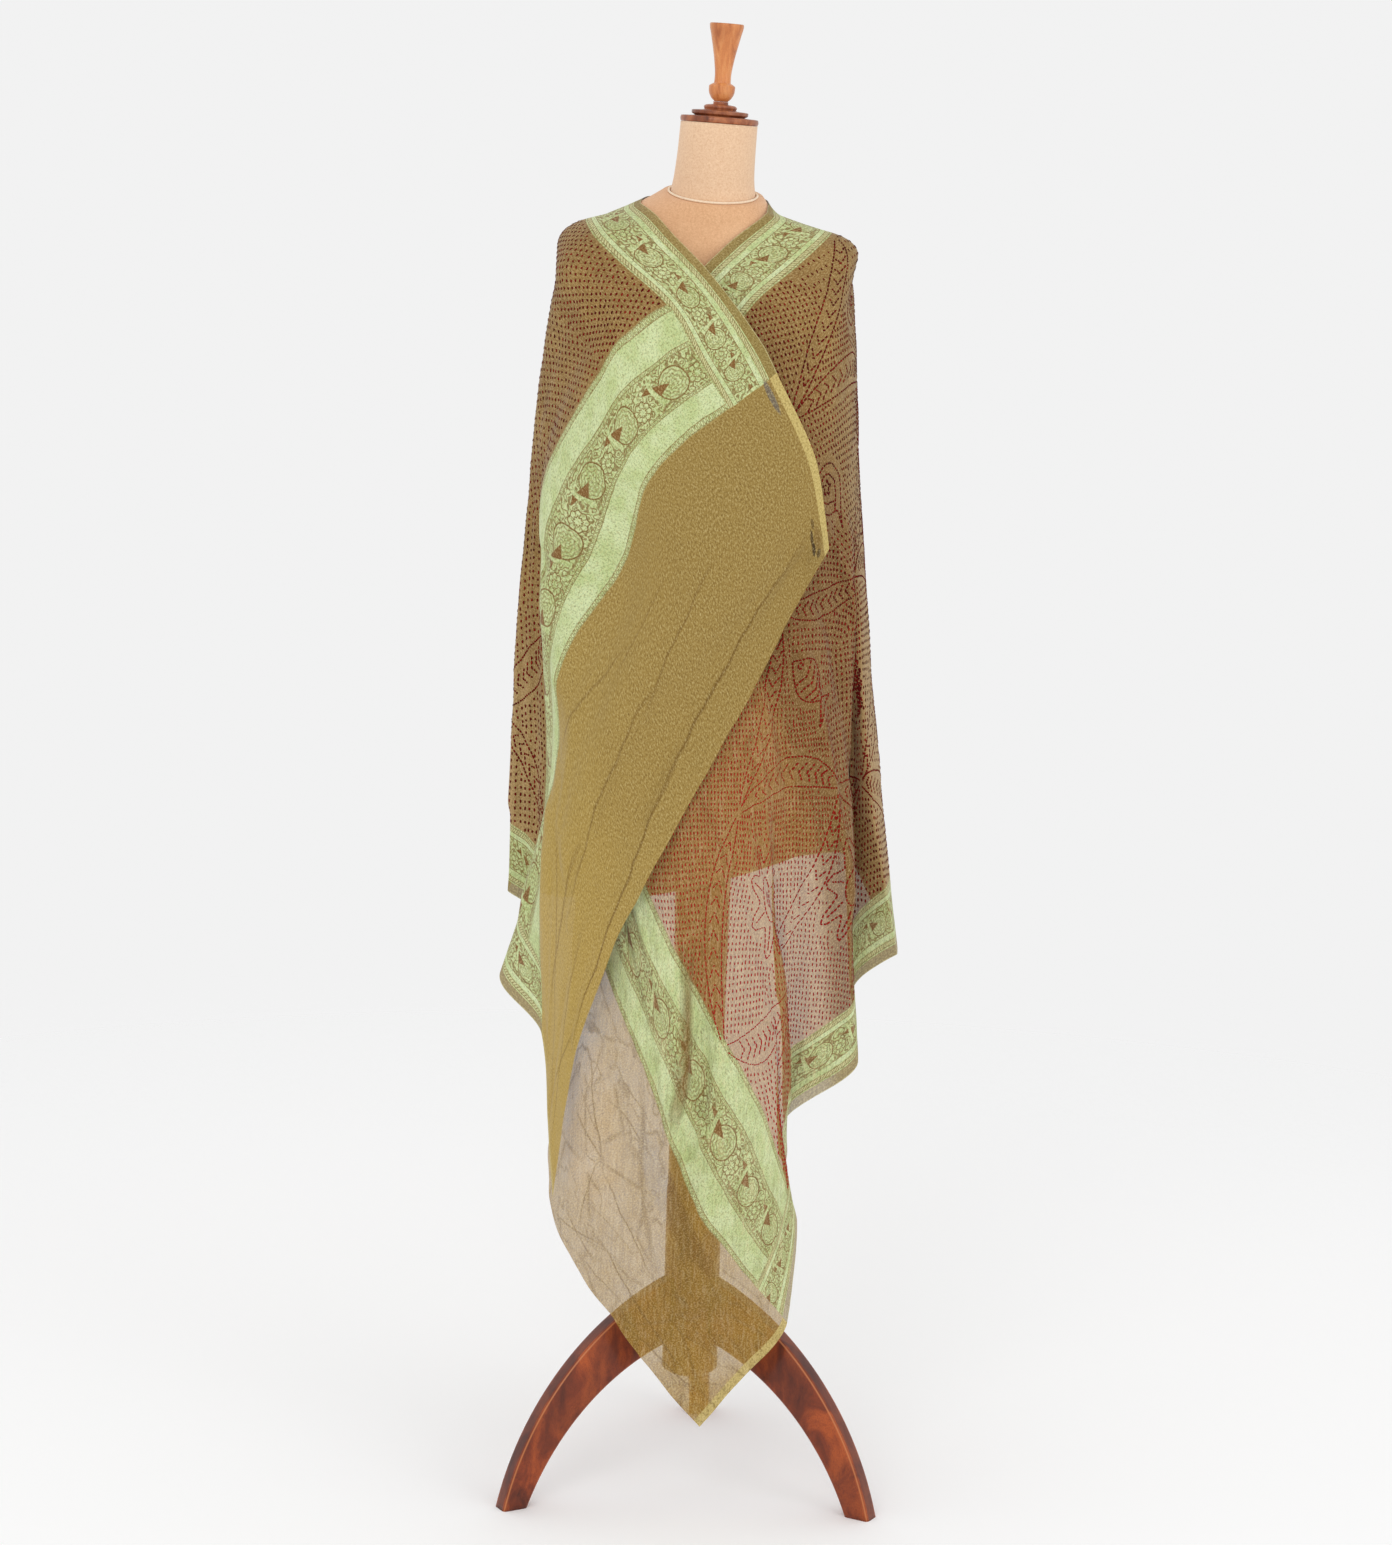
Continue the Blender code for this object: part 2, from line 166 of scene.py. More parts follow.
class Finish:
    # a material and its one Principled shader; what is even all over is set on the shader itself
    def __init__(self, name, **even):
        self.material = bpy.data.materials.new(name)
        self.material.use_nodes = True
        self.tree = self.material.node_tree
        self.shader = self.tree.nodes["Principled BSDF"]
        for label, value in even.items():
            self.shader.inputs[label.replace("_", " ")].default_value = value

    def feed(self, socket, value):
        if isinstance(value, Wire):
            self.tree.links.new(value.socket, socket)
        else:
            socket.default_value = value

    def add(self, kind, settings=None, values=None, output=0):
        made = self.tree.nodes.new(kind)
        for key, value in (settings or {}).items():
            setattr(made, key, value)
        for key, value in (values or {}).items():
            self.feed(made.inputs[key], value)
        return Wire(self, made.outputs[output])

    def parts(self, vector):
        split = self.tree.nodes.new("ShaderNodeSeparateXYZ")
        self.feed(split.inputs[0], vector)
        return [Wire(self, socket) for socket in split.outputs]

    def placed(self, scale=(1, 1, 1)):
        coords = self.add("ShaderNodeTexCoord", output="Object")
        return self.add("ShaderNodeMapping", {}, {"Vector": coords, "Scale": scale})

    def flatMap(self):
        return self.add("ShaderNodeUVMap", {"uv_map": "flat"})

    def cloud(self, vector, scale, detail, roughness, distortion=0.0):
        return self.add("ShaderNodeTexNoise", {}, {"Vector": vector, "Scale": scale, "Detail": detail,
                                                   "Roughness": roughness, "Distortion": distortion})

    def ramp(self, wire, stops):
        # a colour for each level of the wire, from rows of (level, colour)
        made = self.tree.nodes.new("ShaderNodeValToRGB")
        elements = made.color_ramp.elements
        while len(elements) < len(stops):
            elements.new(0.5)
        for element, (level, colour) in zip(elements, stops):
            element.position = level
            element.color = colour
        self.feed(made.inputs["Fac"], wire)
        return Wire(self, made.outputs[0])

    def blend(self, mask, under, over):
        # colours go through Mix, because Math would turn them grey
        return self.add("ShaderNodeMix", {"data_type": "RGBA", "clamp_factor": True},
                        {0: mask, 6: under, 7: over}, output=2)

    def layered(self, colour, layers):
        # each row's colour lies over those before it, where its mask is 1
        for mask, over in layers:
            colour = self.blend(mask, colour, over)
        return colour

    def bump(self, height, distance, strength):
        return self.add("ShaderNodeBump", {}, {"Height": height, "Distance": distance, "Strength": strength})

    def put(self, **links):
        for label, value in links.items():
            self.feed(self.shader.inputs[label.replace("_", " ")], value)
        return self.material


def rgb(red, green, blue):
    # a colour as the photograph's screen values, 0 to 255
    def linear(channel):
        part = channel / 255
        return part / 12.92 if part <= 0.04045 else ((part + 0.055) / 1.055) ** 2.4
    return (linear(red), linear(green), linear(blue), 1.0)


# helpers for pieces
def addPiece(name, bm, material, smooth=True):
    mesh = bpy.data.meshes.new(name)
    bm.to_mesh(mesh)
    bm.free()
    mesh.materials.append(material)
    piece = bpy.data.objects.new(name, mesh)
    scene.collection.objects.link(piece)
    if smooth:
        mesh.shade_smooth()
    return piece


def standIn(piece, node):
    # the piece rides on the one body and is seen in place of the plain solid
    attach(piece, "root")
    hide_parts(node)


def unit(vectors):
    return vectors / np.linalg.norm(vectors, axis=-1, keepdims=True)


def runLengths(points):
    # how far each point of a line lies along it from the first
    return np.concatenate([[0], np.cumsum(np.linalg.norm(np.diff(points, axis=0), axis=1))])


def smoothCurve(knots, values, at):
    # a curve through the knots that never overshoots between them; works on whole arrays of points
    knots = np.asarray(knots, float)
    values = np.asarray(values, float)
    at = np.asarray(at, float)
    wide = (-1,) + (1,) * (values.ndim - 1)
    gaps = np.diff(knots)
    rises = np.diff(values, axis=0) / gaps.reshape(wide)
    product = rises[:-1] * rises[1:]
    both = np.where(product > 0, rises[:-1] + rises[1:], 1.0)
    inner = np.where(product > 0, 2 * product / both, 0.0)
    grades = np.concatenate([rises[:1], inner, rises[-1:]])
    i = np.clip(np.searchsorted(knots, at, side="right") - 1, 0, len(knots) - 2)
    span = gaps[i].reshape(wide)
    part = ((at - knots[i]) / gaps[i]).reshape(wide)
    rest = 1 - part
    return (values[i] * (1 + 2 * part) * rest * rest + grades[i] * span * part * rest * rest
            + values[i + 1] * part * part * (3 - 2 * part) - grades[i + 1] * span * part * part * rest)


def flatGrid(stepsAlong, stepsAcross, long=1.0, wide=1.0):
    # a flat grid whose UV map "flat" runs from 0 to the given size each way
    bm = bmesh.new()
    uvLayer = bm.loops.layers.uv.new("flat")
    bmesh.ops.create_grid(bm, x_segments=stepsAlong, y_segments=stepsAcross, size=0.5)
    for face in bm.faces:
        for corner in face.loops:
            corner[uvLayer].uv = ((corner.vert.co.x + 0.5) * long, (corner.vert.co.y + 0.5) * wide)
    return bm


def wrappedGrid(stepsA, stepsB, place):
    # a flat grid from 0 to 1 each way, moved onto a shape by place(a, b), with its seams merged
    bm = flatGrid(stepsA, stepsB)
    for vert in bm.verts:
        vert.co = place(vert.co.x + 0.5, vert.co.y + 0.5)
    bmesh.ops.remove_doubles(bm, verts=bm.verts, dist=0.000001)
    return bm


def closeAndFace(bm):
    # fills open ends and turns every face outwards
    rims = [edge for edge in bm.edges if edge.is_boundary]
    if rims:
        bmesh.ops.holes_fill(bm, edges=rims, sides=0)
    bmesh.ops.recalc_face_normals(bm, faces=bm.faces)


def turned(profile, steps, foot, lean):
    # spins a smooth profile of (radius, height) about its own axis
    bm = bmesh.new()
    points = [bm.verts.new((0, 0, profile[0][1]))]
    points += [bm.verts.new((radius, 0, height)) for radius, height in profile]
    points.append(bm.verts.new((0, 0, profile[-1][1])))
    edges = [bm.edges.new(pair) for pair in zip(points, points[1:])]
    bmesh.ops.spin(bm, geom=points + edges, cent=(0, 0, 0), axis=(0, 0, 1), angle=2 * pi,
                   steps=steps, use_merge=True)
    bmesh.ops.remove_doubles(bm, verts=bm.verts, dist=0.00001)
    bmesh.ops.recalc_face_normals(bm, faces=bm.faces)
    bmesh.ops.transform(bm, matrix=Matrix.Translation(foot) @ Matrix.Rotation(lean, 4, "Y"), verts=bm.verts)
    return bm


def ease(profile, count):
    # more points along a turned profile, rounded a little at its corners
    points = np.array(profile, float)
    lengths = runLengths(points)
    at = np.union1d(np.linspace(0, lengths[-1], count), lengths)
    return [tuple(row) for row in smoothCurve(lengths, points, at)]


# the padded form
form = {
    "turn": radians(12.0), "neckLean": radians(3.0), "floor": 0.740, "seam": 1.538, "gap": 0.0003,
    "sides": 120, "rows": 150, "neckRows": 30,
    "pipingRadius": 0.0015, "pipingSides": 12, "pipingMargin": 0.0004,
    "weaveScale": 5200, "pileScale": 900, "speckleScale": 420, "patchScale": 9,
    "formLinen": (rgb(242, 196, 152), rgb(212, 158, 114)),
    "neckLinen": (rgb(251, 219, 184), rgb(224, 180, 142)),
    "pipingCotton": (rgb(254, 238, 214), rgb(238, 212, 180)),
}
Ring = namedtuple("Ring", "height halfWidth halfDepth sideways forward sideDrop frontDrop")
torsoRings = (
    Ring(form["floor"], 0.070, 0.060, 0.000, 0.000, 0.000, 0.000),
    Ring(0.734, 0.148, 0.100, 0.000, 0.000, -0.036, 0.000),
    Ring(0.764, 0.155, 0.106, 0.000, 0.000, -0.028, 0.000),
    Ring(0.830, 0.160, 0.110, 0.000, 0.000, -0.006, 0.000),
    Ring(0.910, 0.154, 0.108, 0.000, 0.000, 0.000, 0.000),
    Ring(1.010, 0.128, 0.092, -0.002, 0.000, 0.000, 0.000),
    Ring(1.100, 0.112, 0.084, -0.004, 0.000, 0.000, 0.000),
    Ring(1.190, 0.124, 0.094, -0.006, 0.004, 0.000, 0.000),
    Ring(1.280, 0.146, 0.108, -0.008, 0.010, 0.000, 0.000),
    Ring(1.340, 0.152, 0.106, -0.009, 0.010, 0.000, 0.000),
    Ring(1.400, 0.160, 0.094, -0.010, 0.004, 0.000, 0.000),
    Ring(1.445, 0.166, 0.084, -0.012, 0.000, 0.004, 0.000),
    Ring(1.474, 0.158, 0.077, -0.013, -0.002, 0.007, 0.002),
    Ring(1.495, 0.136, 0.070, -0.013, -0.003, 0.009, 0.005),
    Ring(1.512, 0.098, 0.067, -0.013, -0.004, 0.008, 0.009),
    Ring(1.526, 0.074, 0.066, -0.012, -0.004, 0.005, 0.012),
    Ring(form["seam"], 0.061, 0.063, -0.011, -0.004, 0.000, 0.013),
)
neckRings = (
    Ring(form["seam"] + form["gap"], 0.051, 0.053, -0.011, -0.004, 0.000, 0.0109),
    Ring(1.560, 0.048, 0.050, -0.010, 0.000, 0.0005, 0.009),
    Ring(1.590, 0.0465, 0.049, -0.008, 0.005, 0.0015, 0.004),
    Ring(1.623, 0.046, 0.048, -0.006, 0.010, 0.046 * tan(form["neckLean"]) * cos(form["turn"]),
         0.048 * tan(form["neckLean"]) * sin(form["turn"])),
)


def bodyPoint(ring, angle):
    # an oval turned about the stand, with its own drop to one side and to the front
    ring = Ring(*ring)
    shift = view["standShift"]
    turn = form["turn"]
    wide = ring.halfWidth * sin(angle)
    deep = ring.halfDepth * cos(angle)
    level = ring.height - ring.sideDrop * sin(angle) - ring.frontDrop * cos(angle)
    return Vector((ring.sideways + wide * cos(turn) + deep * sin(turn) + shift[0],
                   wide * sin(turn) - deep * cos(turn) - ring.forward + shift[1], level))


def loftBody(rings, rows):
    # the rings are joined by smooth curves, with a few more rows than the table has
    at = np.union1d(np.linspace(0, len(rings) - 1, rows), np.arange(len(rings)))
    between = smoothCurve(range(len(rings)), rings, at)
    steps = len(between) - 1
    bm = wrappedGrid(form["sides"], steps, lambda a, b: bodyPoint(between[round(b * steps)], 2 * pi * a))
    closeAndFace(bm)
    return bm


def pipingPoint(a, b):
    # a cord laid on the ledge between the seam ring and the neck
    neck = neckRings[0]
    seam = torsoRings[-1]
    radius = form["pipingRadius"]
    margin = form["gap"] + radius + form["pipingMargin"]
    slope = seam.frontDrop / seam.halfDepth
    deep = neck.halfDepth + margin
    ring = Ring(seam.height, neck.halfWidth + margin, deep, neck.sideways, neck.forward, 0, slope * deep)
    lift = (radius + form["gap"]) * sqrt(1 + slope * slope)
    middle = bodyPoint(ring, 2 * pi * a)
    outward = middle - bodyPoint(ring._replace(halfWidth=0, halfDepth=0, frontDrop=0), 0)
    outward.z = 0
    outward.normalize()
    turn = 2 * pi * b
    return middle + Vector((0, 0, lift)) + outward * radius * cos(turn) + Vector((0, 0, radius * sin(turn)))


def linenFinish(name):
    # a fine cotton pile: small weave in the colour and the bump, with soft uneven patches
    base, shade = form[name]
    cloth = Finish(name, Roughness=0.92, Sheen_Weight=0.25, Sheen_Roughness=0.5, Specular_IOR_Level=0.25)
    at = cloth.placed()
    patches = cloth.cloud(at, form["patchScale"], 4, 0.6)
    pile = cloth.cloud(at, form["pileScale"], 2, 0.6)
    speckle = cloth.cloud(at, form["speckleScale"], 2, 0.8)
    across, _, up = cloth.parts(at)
    threads = (across * form["weaveScale"]).sine() * (up * form["weaveScale"]).sine()
    shaded = patches.step(0.35, 0.15) * 0.35 + pile * 0.45 + threads * 0.06
    colour = cloth.blend(shaded + (speckle - 0.5) * 1.6, base, shade)
    return cloth.put(Base_Color=colour, Normal=cloth.bump(pile * 0.7 + threads * 0.3, 0.0006, 0.6))


def makeForm():
    torso = addPiece("formTorso", loftBody(torsoRings, form["rows"]), linenFinish("formLinen"))
    neck = addPiece("formNeck", loftBody(neckRings, form["neckRows"]), linenFinish("neckLinen"))
    cord = wrappedGrid(form["sides"], form["pipingSides"], pipingPoint)
    closeAndFace(cord)
    piping = addPiece("neckPiping", cord, linenFinish("pipingCotton"))
    standIn(torso, "torso")
    standIn(neck, "neck")
    standIn(piping, "neck_piping")
    print("form made")
    return torso


# the wooden parts
wood = {
    "sides": 64, "columnFoot": 0.128, "hubRadius": 0.033, "columnTop": form["floor"] - form["gap"],
    "legArcRadius": 0.349, "legArcOut": -0.087, "legArcHeight": -0.085, "legDepthHub": 0.068,
    "legDepthFoot": 0.031, "legThickness": 0.024, "legRound": 0.0045, "legRows": 56, "legSides": 32,
    "cornerPace": 1.6,  # the first 1/1.6 of each quarter of a leg's outline is its round corner
    "legTurns": {"leg_left": radians(-60), "leg_right": radians(60), "leg_back": radians(176.5)},
    # a painted highlight along each leg's rounded edges, and painted shade on its outer face
    "arrisHighlight": rgb(196, 118, 66), "highlightAt": 0.30, "highlightHalf": 0.075,  # shares of a quarter of the outline
    "outerShade": rgb(58, 24, 18), "outerFrom": 0.90,  # a share of the whole outline
}
Timber = namedtuple("Timber", "light middle dark grainScale grainLength gloss")
timbers = {
    "darkWood": Timber(rgb(150, 66, 22), rgb(112, 44, 14), rgb(54, 18, 8), 34, 0.16, 0.32),
    "legWood": Timber(rgb(176, 80, 26), rgb(132, 52, 14), rgb(62, 20, 6), 26, 0.50, 0.40),
    "capWood": Timber(rgb(196, 122, 78), rgb(158, 88, 54), rgb(98, 50, 30), 60, 0.50, 0.32),
    "lightWood": Timber(rgb(236, 166, 104), rgb(214, 134, 76), rgb(160, 88, 48), 70, 0.12, 0.32),
}
# turned profiles, as radius and height
capProfile = ((0.046, 0.000), (0.047, 0.0035), (0.046, 0.007), (0.030, 0.0085), (0.034, 0.011),
              (0.034, 0.014), (0.019, 0.0165), (0.020, 0.019), (0.018, 0.0215), (0.009, 0.0235),
              (0.009, 0.0260))
finialProfile = ((0.0080, 0.000), (0.0125, 0.0045), (0.0155, 0.012), (0.0158, 0.018), (0.0130, 0.0205),
                 (0.0100, 0.0225), (0.0098, 0.030), (0.0118, 0.048), (0.0148, 0.064), (0.0180, 0.079),
                 (0.0205, 0.0915), (0.0200, 0.0935))
columnProfile = ((0.026, 0.000), (wood["hubRadius"], 0.006), (wood["hubRadius"], 0.215), (0.032, 0.225),
                 (0.031, 0.420), (0.033, 0.560), (0.034, wood["columnTop"] - wood["columnFoot"]))


def woodFinish(name, arrises=False):
    # long grain from a stretched cloud, fine pores and darker patches under a coat of varnish
    kind = timbers[name]
    timber = Finish(name, Coat_Weight=0.3, Coat_Roughness=0.12, Specular_IOR_Level=0.3)
    rings = timber.cloud(timber.placed((1, 1, kind.grainLength)), kind.grainScale, 6, 0.62, 0.8)
    pores = timber.cloud(timber.placed((6, 6, kind.grainLength * 4)), kind.grainScale * 9, 2, 0.7)
    patches = timber.cloud(timber.placed(), 14, 3, 0.5)
    colour = timber.ramp(rings, ((0.30, kind.dark), (0.47, kind.middle), (0.62, kind.light),
                                 (0.80, kind.middle)))
    colour = timber.blend(pores.step(0.58, 0.08) * 0.45, colour, kind.dark)
    colour = timber.blend(patches.step(0.55, 0.12) * 0.4, colour, kind.dark)
    if arrises:
        # painted highlights along the rounded edges, and painted shade on the outer face
        _, around, _ = timber.parts(timber.flatMap())
        paler = (around * 4).fraction().line(wood["highlightAt"], wood["highlightHalf"], 0.06)
        colour = timber.blend(around.step(wood["outerFrom"], 0.012) * 0.55, colour, wood["outerShade"])
        colour = timber.blend(paler * 0.75, colour, wood["arrisHighlight"])
    return timber.put(Base_Color=colour, Roughness=kind.gloss + patches * 0.14 + pores * 0.06,
                      Normal=timber.bump(rings * 0.6 + pores * 0.4, 0.0004, 0.35))


def roundedSection(b, depth, thickness, radius):
    # a point on a rounded rectangle, b from 0 to 1 round it; x runs across the depth, y the thickness;
    # each quarter is its round corner and then the flat side after it
    corners = ((1, 1), (-1, 1), (-1, -1), (1, -1))
    quarter = int(b * 4) % 4
    here = corners[quarter]
    after = corners[(quarter + 1) % 4]
    part = (b * 4) % 1 * wood["cornerPace"]
    turn = (quarter + min(part, 1)) * pi / 2
    halfDepth = depth / 2 - radius
    halfThick = thickness / 2 - radius
    along = max(part - 1, 0) / (wood["cornerPace"] - 1)
    return ((here[0] + (after[0] - here[0]) * along) * halfDepth + radius * cos(turn),
            (here[1] + (after[1] - here[1]) * along) * halfThick + radius * sin(turn))


def legPoint(a, b, around):
    # a runs from the hub to the foot; the foot and the hub end are cut flat
    start = wood["hubRadius"] + form["gap"]
    arcOut = wood["legArcOut"]
    arcHeight = wood["legArcHeight"]
    outer = wood["legArcRadius"]
    inner = outer - wood["legDepthHub"] - (wood["legDepthFoot"] - wood["legDepthHub"]) * a

    def spotOn(radius, hubRadius, footRadius):
        first = asin((start - arcOut) / hubRadius)
        last = acos(-arcHeight / footRadius)
        turn = first + (last - first) * a
        return Vector((arcOut + radius * sin(turn), arcHeight + radius * cos(turn)))
    outerSpot = spotOn(outer, outer, outer)
    innerSpot = spotOn(inner, outer - wood["legDepthHub"], outer - wood["legDepthFoot"])
    depth = (outerSpot - innerSpot).length
    across, thick = roundedSection(b, depth, wood["legThickness"], wood["legRound"])
    spot = innerSpot + (outerSpot - innerSpot) * (across / depth + 0.5)
    place = Matrix.Rotation(around, 3, "Z") @ Vector((thick, -spot[0], spot[1]))
    return place + Vector(view["standShift"])


def makeWood():
    shift = Vector(view["standShift"])
    ring = neckRings[-1]
    tilt = form["neckLean"]
    lean = Matrix.Rotation(tilt, 3, "Y")
    neckTop = Vector((ring.sideways, -ring.forward, ring.height)) + shift
    capFoot = neckTop + lean @ Vector((0, 0, form["gap"]))
    finialFoot = capFoot + lean @ Vector((0, 0, capProfile[-1][1] + form["gap"]))
    columnFoot = shift + Vector((0, 0, wood["columnFoot"]))
    for name, profile, rows, foot, turn, timber, node, slot in (
            ("finialTurned", finialProfile, 60, finialFoot, tilt, "lightWood", "finial", "light_wood"),
            ("capTurned", capProfile, 60, capFoot, tilt, "capWood", "neck_cap", "cap_wood"),
            ("columnTurned", columnProfile, 90, columnFoot, 0.0, "darkWood", "column", "dark_wood")):
        bm = turned(ease(profile, rows), wood["sides"], foot, turn)
        standIn(addPiece(name, bm, woodFinish(timber)), node)
    legWood = woodFinish("legWood", arrises=True)
    for node, around in wood["legTurns"].items():
        bm = wrappedGrid(wood["legRows"], wood["legSides"], lambda a, b: legPoint(a, b, around))
        closeAndFace(bm)
        standIn(addPiece(node + ".curved", bm, legWood), node)
    print("wood made")


# the dupatta, laid out flat in metres along and across, then hung on its ribs
dupatta = {
    "length": 1.90, "width": 0.90, "stepsAlong": 430, "stepsAcross": 204,
    "clearance": 0.0018, "clearancePasses": 6, "nearForm": 0.03,
    "plainEnd": 0.20, "bandEnd": 0.35, "farShift": 1.92,
    "looseFrom": 1.66, "looseOver": 0.10,  # the sheer end is crumpled more than the rest
    "endWander": 0.0055, "endReach": 0.05, "sideWander": 0.0022, "sideReach": 0.04,
    "noiseSteps": (0.37, 0.41), "noiseSeedStep": 1.7, "noiseGain": 1.6,
}
# five places across each rib, as photo pixels and millimetres behind the stand's own depth
placesAcross = (0.0, 0.20, 0.45, 0.68, dupatta["width"])
Rib = namedtuple("Rib", "along neckX neckY neckDepth chestX chestY chestDepth "
                 "middleX middleY middleDepth lowX lowY lowDepth hemX hemY hemDepth")
ribs = (
    Rib(0.000, 829, 549, -132, 752, 694, -148, 654, 871, -152, 579, 1040, -140, 552, 1197, -110),
    Rib(0.100, 817, 466, -126, 705, 585, -152, 604, 765, -150, 562, 950, -130, 548, 1118, -100),
    Rib(0.200, 776, 374, -128, 656, 472, -152, 571, 634, -118, 549, 835, -107, 541, 1035, -97),
    Rib(0.280, 751, 326, -131, 622, 424, -138, 549, 606, -72, 553, 800, -52, 499, 975, -50),
    Rib(0.350, 714, 277, -125, 605, 360, -118, 544, 540, -38, 547, 738, -14, 540, 928, -17),
    Rib(0.410, 676, 236, -106, 572, 318, -78, 535, 490, -8, 526, 700, 4, 528, 905, 10),
    Rib(0.450, 655, 214, -75, 555, 288, -40, 533, 480, 15, 516, 690, 18, 507, 890, 15),
    Rib(0.495, 640, 203, -25, 559, 268, 20, 535, 470, 45, 520, 675, 50, 513, 880, 50),
    Rib(0.580, 655, 200, 32, 590, 285, 95, 575, 480, 105, 565, 690, 110, 560, 895, 112),
    Rib(0.720, 709, 198, 60, 705, 340, 120, 700, 535, 122, 698, 715, 126, 697, 876, 130),
    Rib(0.860, 756, 202, 32, 815, 300, 95, 825, 490, 105, 832, 680, 110, 838, 852, 112),
    Rib(0.940, 768, 211, -25, 852, 285, 22, 860, 490, 45, 871, 700, 50, 884, 930, 50),
    Rib(1.005, 732, 241, -72, 847, 320, -35, 861, 520, 0, 876, 730, 5, 897, 945, 5),
    Rib(1.080, 700, 270, -99, 812, 385, -92, 856, 560, -55, 866, 760, -55, 896, 955, -45),
    Rib(1.170, 650, 345, -111, 757, 470, -128, 842, 610, -70, 850, 800, -34, 853, 990, -30),
    Rib(1.270, 612, 415, -110, 715, 550, -129, 808, 690, -112, 846, 870, -95, 858, 1060, -85),
    Rib(1.385, 576, 480, -92, 662, 628, -135, 748, 785, -134, 777, 955, -106, 784, 1122, -84),
    Rib(1.435, 560, 518, -80, 636, 665, -132, 728, 825, -140, 786, 995, -121, 788, 1149, -94),
    Rib(1.490, 558, 555, -52, 612, 705, -117, 703, 868, -140, 777, 1045, -138, 783, 1180, -112),
    Rib(1.570, 556, 592, -20, 592, 745, -98, 672, 945, -134, 767, 1122, -138, 797, 1222, -104),
    Rib(1.720, 572, 740, 62, 578, 880, -60, 637, 1052, -125, 697, 1210, -130, 787, 1322, -118),
    Rib(1.810, 600, 790, 85, 574, 920, -22, 580, 1090, -110, 640, 1250, -118, 745, 1375, -110),
    Rib(1.900, 625, 840, 95, 575, 1000, 30, 550, 1140, -50, 598, 1292, -100, 700, 1424, -100),
)
# soft folds along straight lines on the flat cloth; a positive height stands out to the front
Fold = namedtuple("Fold", "along across endAlong endAcross height halfWidth")
folds = (
    Fold(0.02, 0.06, 0.06, 0.50, 0.007, 0.035),
    Fold(0.07, 0.10, 0.13, 0.60, -0.006, 0.035),
    Fold(0.14, 0.24, 0.20, 0.62, 0.005, 0.035),
    Fold(0.28, 0.46, 0.30, 0.80, -0.008, 0.045),
    Fold(0.62, 0.34, 0.60, 0.90, 0.008, 0.050),
    Fold(0.71, 0.30, 0.70, 0.90, -0.008, 0.050),
    Fold(0.81, 0.34, 0.83, 0.90, 0.008, 0.050),
    Fold(1.12, 0.40, 1.27, 0.70, -0.009, 0.045),
    Fold(1.29, 0.40, 1.40, 0.72, 0.007, 0.035),
    Fold(1.56, 0.49, 1.76, 0.66, 0.007, 0.040),
    Fold(1.62, 0.60, 1.80, 0.78, -0.005, 0.035),
)
# places moved a little after hanging, in metres to the right and up
Shift = namedtuple("Shift", "along across reachAlong reachAcross sideways up")
clothShifts = (
    Shift(0.47, 0.10, 0.15, 0.10, -0.027, 0.008),
    Shift(0.93, 0.10, 0.14, 0.10, 0.036, 0.006),
    Shift(0.20, 0.355, 0.09, 0.15, 0.034, 0.002),
    Shift(0.20, 0.47, 0.08, 0.12, -0.013, -0.012),
    Shift(0.325, 0.37, 0.075, 0.14, -0.013, 0.000),
    Shift(0.20, 0.72, 0.07, 0.17, -0.009, 0.000),
    Shift(1.90, 0.57, 0.12, 0.15, -0.013, 0.000),
    Shift(1.90, 0.84, 0.08, 0.07, -0.005, -0.004),
    Shift(1.90, 0.90, 0.08, 0.08, -0.001, -0.005),
)
# finer creases, as narrow troughs or ridges
creases = (
    Fold(0.046, 0.03, 0.028, 0.42, -0.0034, 0.010),
    Fold(0.030, 0.33, 0.014, 0.70, -0.0034, 0.010),
    Fold(0.110, 0.17, 0.082, 0.36, -0.0026, 0.010),
    Fold(0.088, 0.30, 0.094, 0.64, -0.0026, 0.010),
    Fold(0.120, 0.25, 0.150, 0.70, 0.0016, 0.012),
    Fold(0.160, 0.40, 0.135, 0.86, -0.0016, 0.010),
    Fold(0.060, 0.55, 0.090, 0.88, 0.0018, 0.012),
    Fold(0.385, 0.14, 0.39, 0.80, 0.0050, 0.020),
    Fold(0.430, 0.12, 0.44, 0.80, -0.0050, 0.020),
    Fold(0.475, 0.16, 0.48, 0.80, 0.0040, 0.018),
    Fold(0.245, 0.10, 0.30, 0.42, 0.0030, 0.016),
    Fold(0.215, 0.22, 0.33, 0.34, -0.0028, 0.014),
    Fold(0.225, 0.36, 0.335, 0.44, 0.0028, 0.014),
    Fold(1.46, 0.40, 1.50, 0.84, 0.0050, 0.017),
    Fold(1.36, 0.42, 1.42, 0.84, -0.0060, 0.018),
    Fold(1.31, 0.34, 1.36, 0.86, 0.0055, 0.018),
    Fold(1.25, 0.30, 1.29, 0.86, -0.0055, 0.016),
    Fold(1.20, 0.28, 1.23, 0.86, 0.0050, 0.016),
    Fold(1.14, 0.24, 1.16, 0.80, -0.0040, 0.014),
    Fold(1.60, 0.36, 1.68, 0.62, -0.0040, 0.014),
    Fold(1.64, 0.34, 1.74, 0.58, 0.0040, 0.014),
    Fold(1.724, 0.47, 1.812, 0.73, 0.0035, 0.008),
    Fold(1.560, 0.480, 1.690, 0.555, -0.0080, 0.017),
    Fold(1.590, 0.535, 1.700, 0.615, 0.0055, 0.014),
)
# smooth uneven heights over the whole cloth: the size of a bump, and its height held firm and hanging loose
Ruffle = namedtuple("Ruffle", "size seed height looseHeight", defaults=(0.0,))
crumples = (
    Ruffle(0.034, 3.1, 0.0011, 0.0028),
    Ruffle(0.016, 8.7, 0.0007, 0.0012),
)
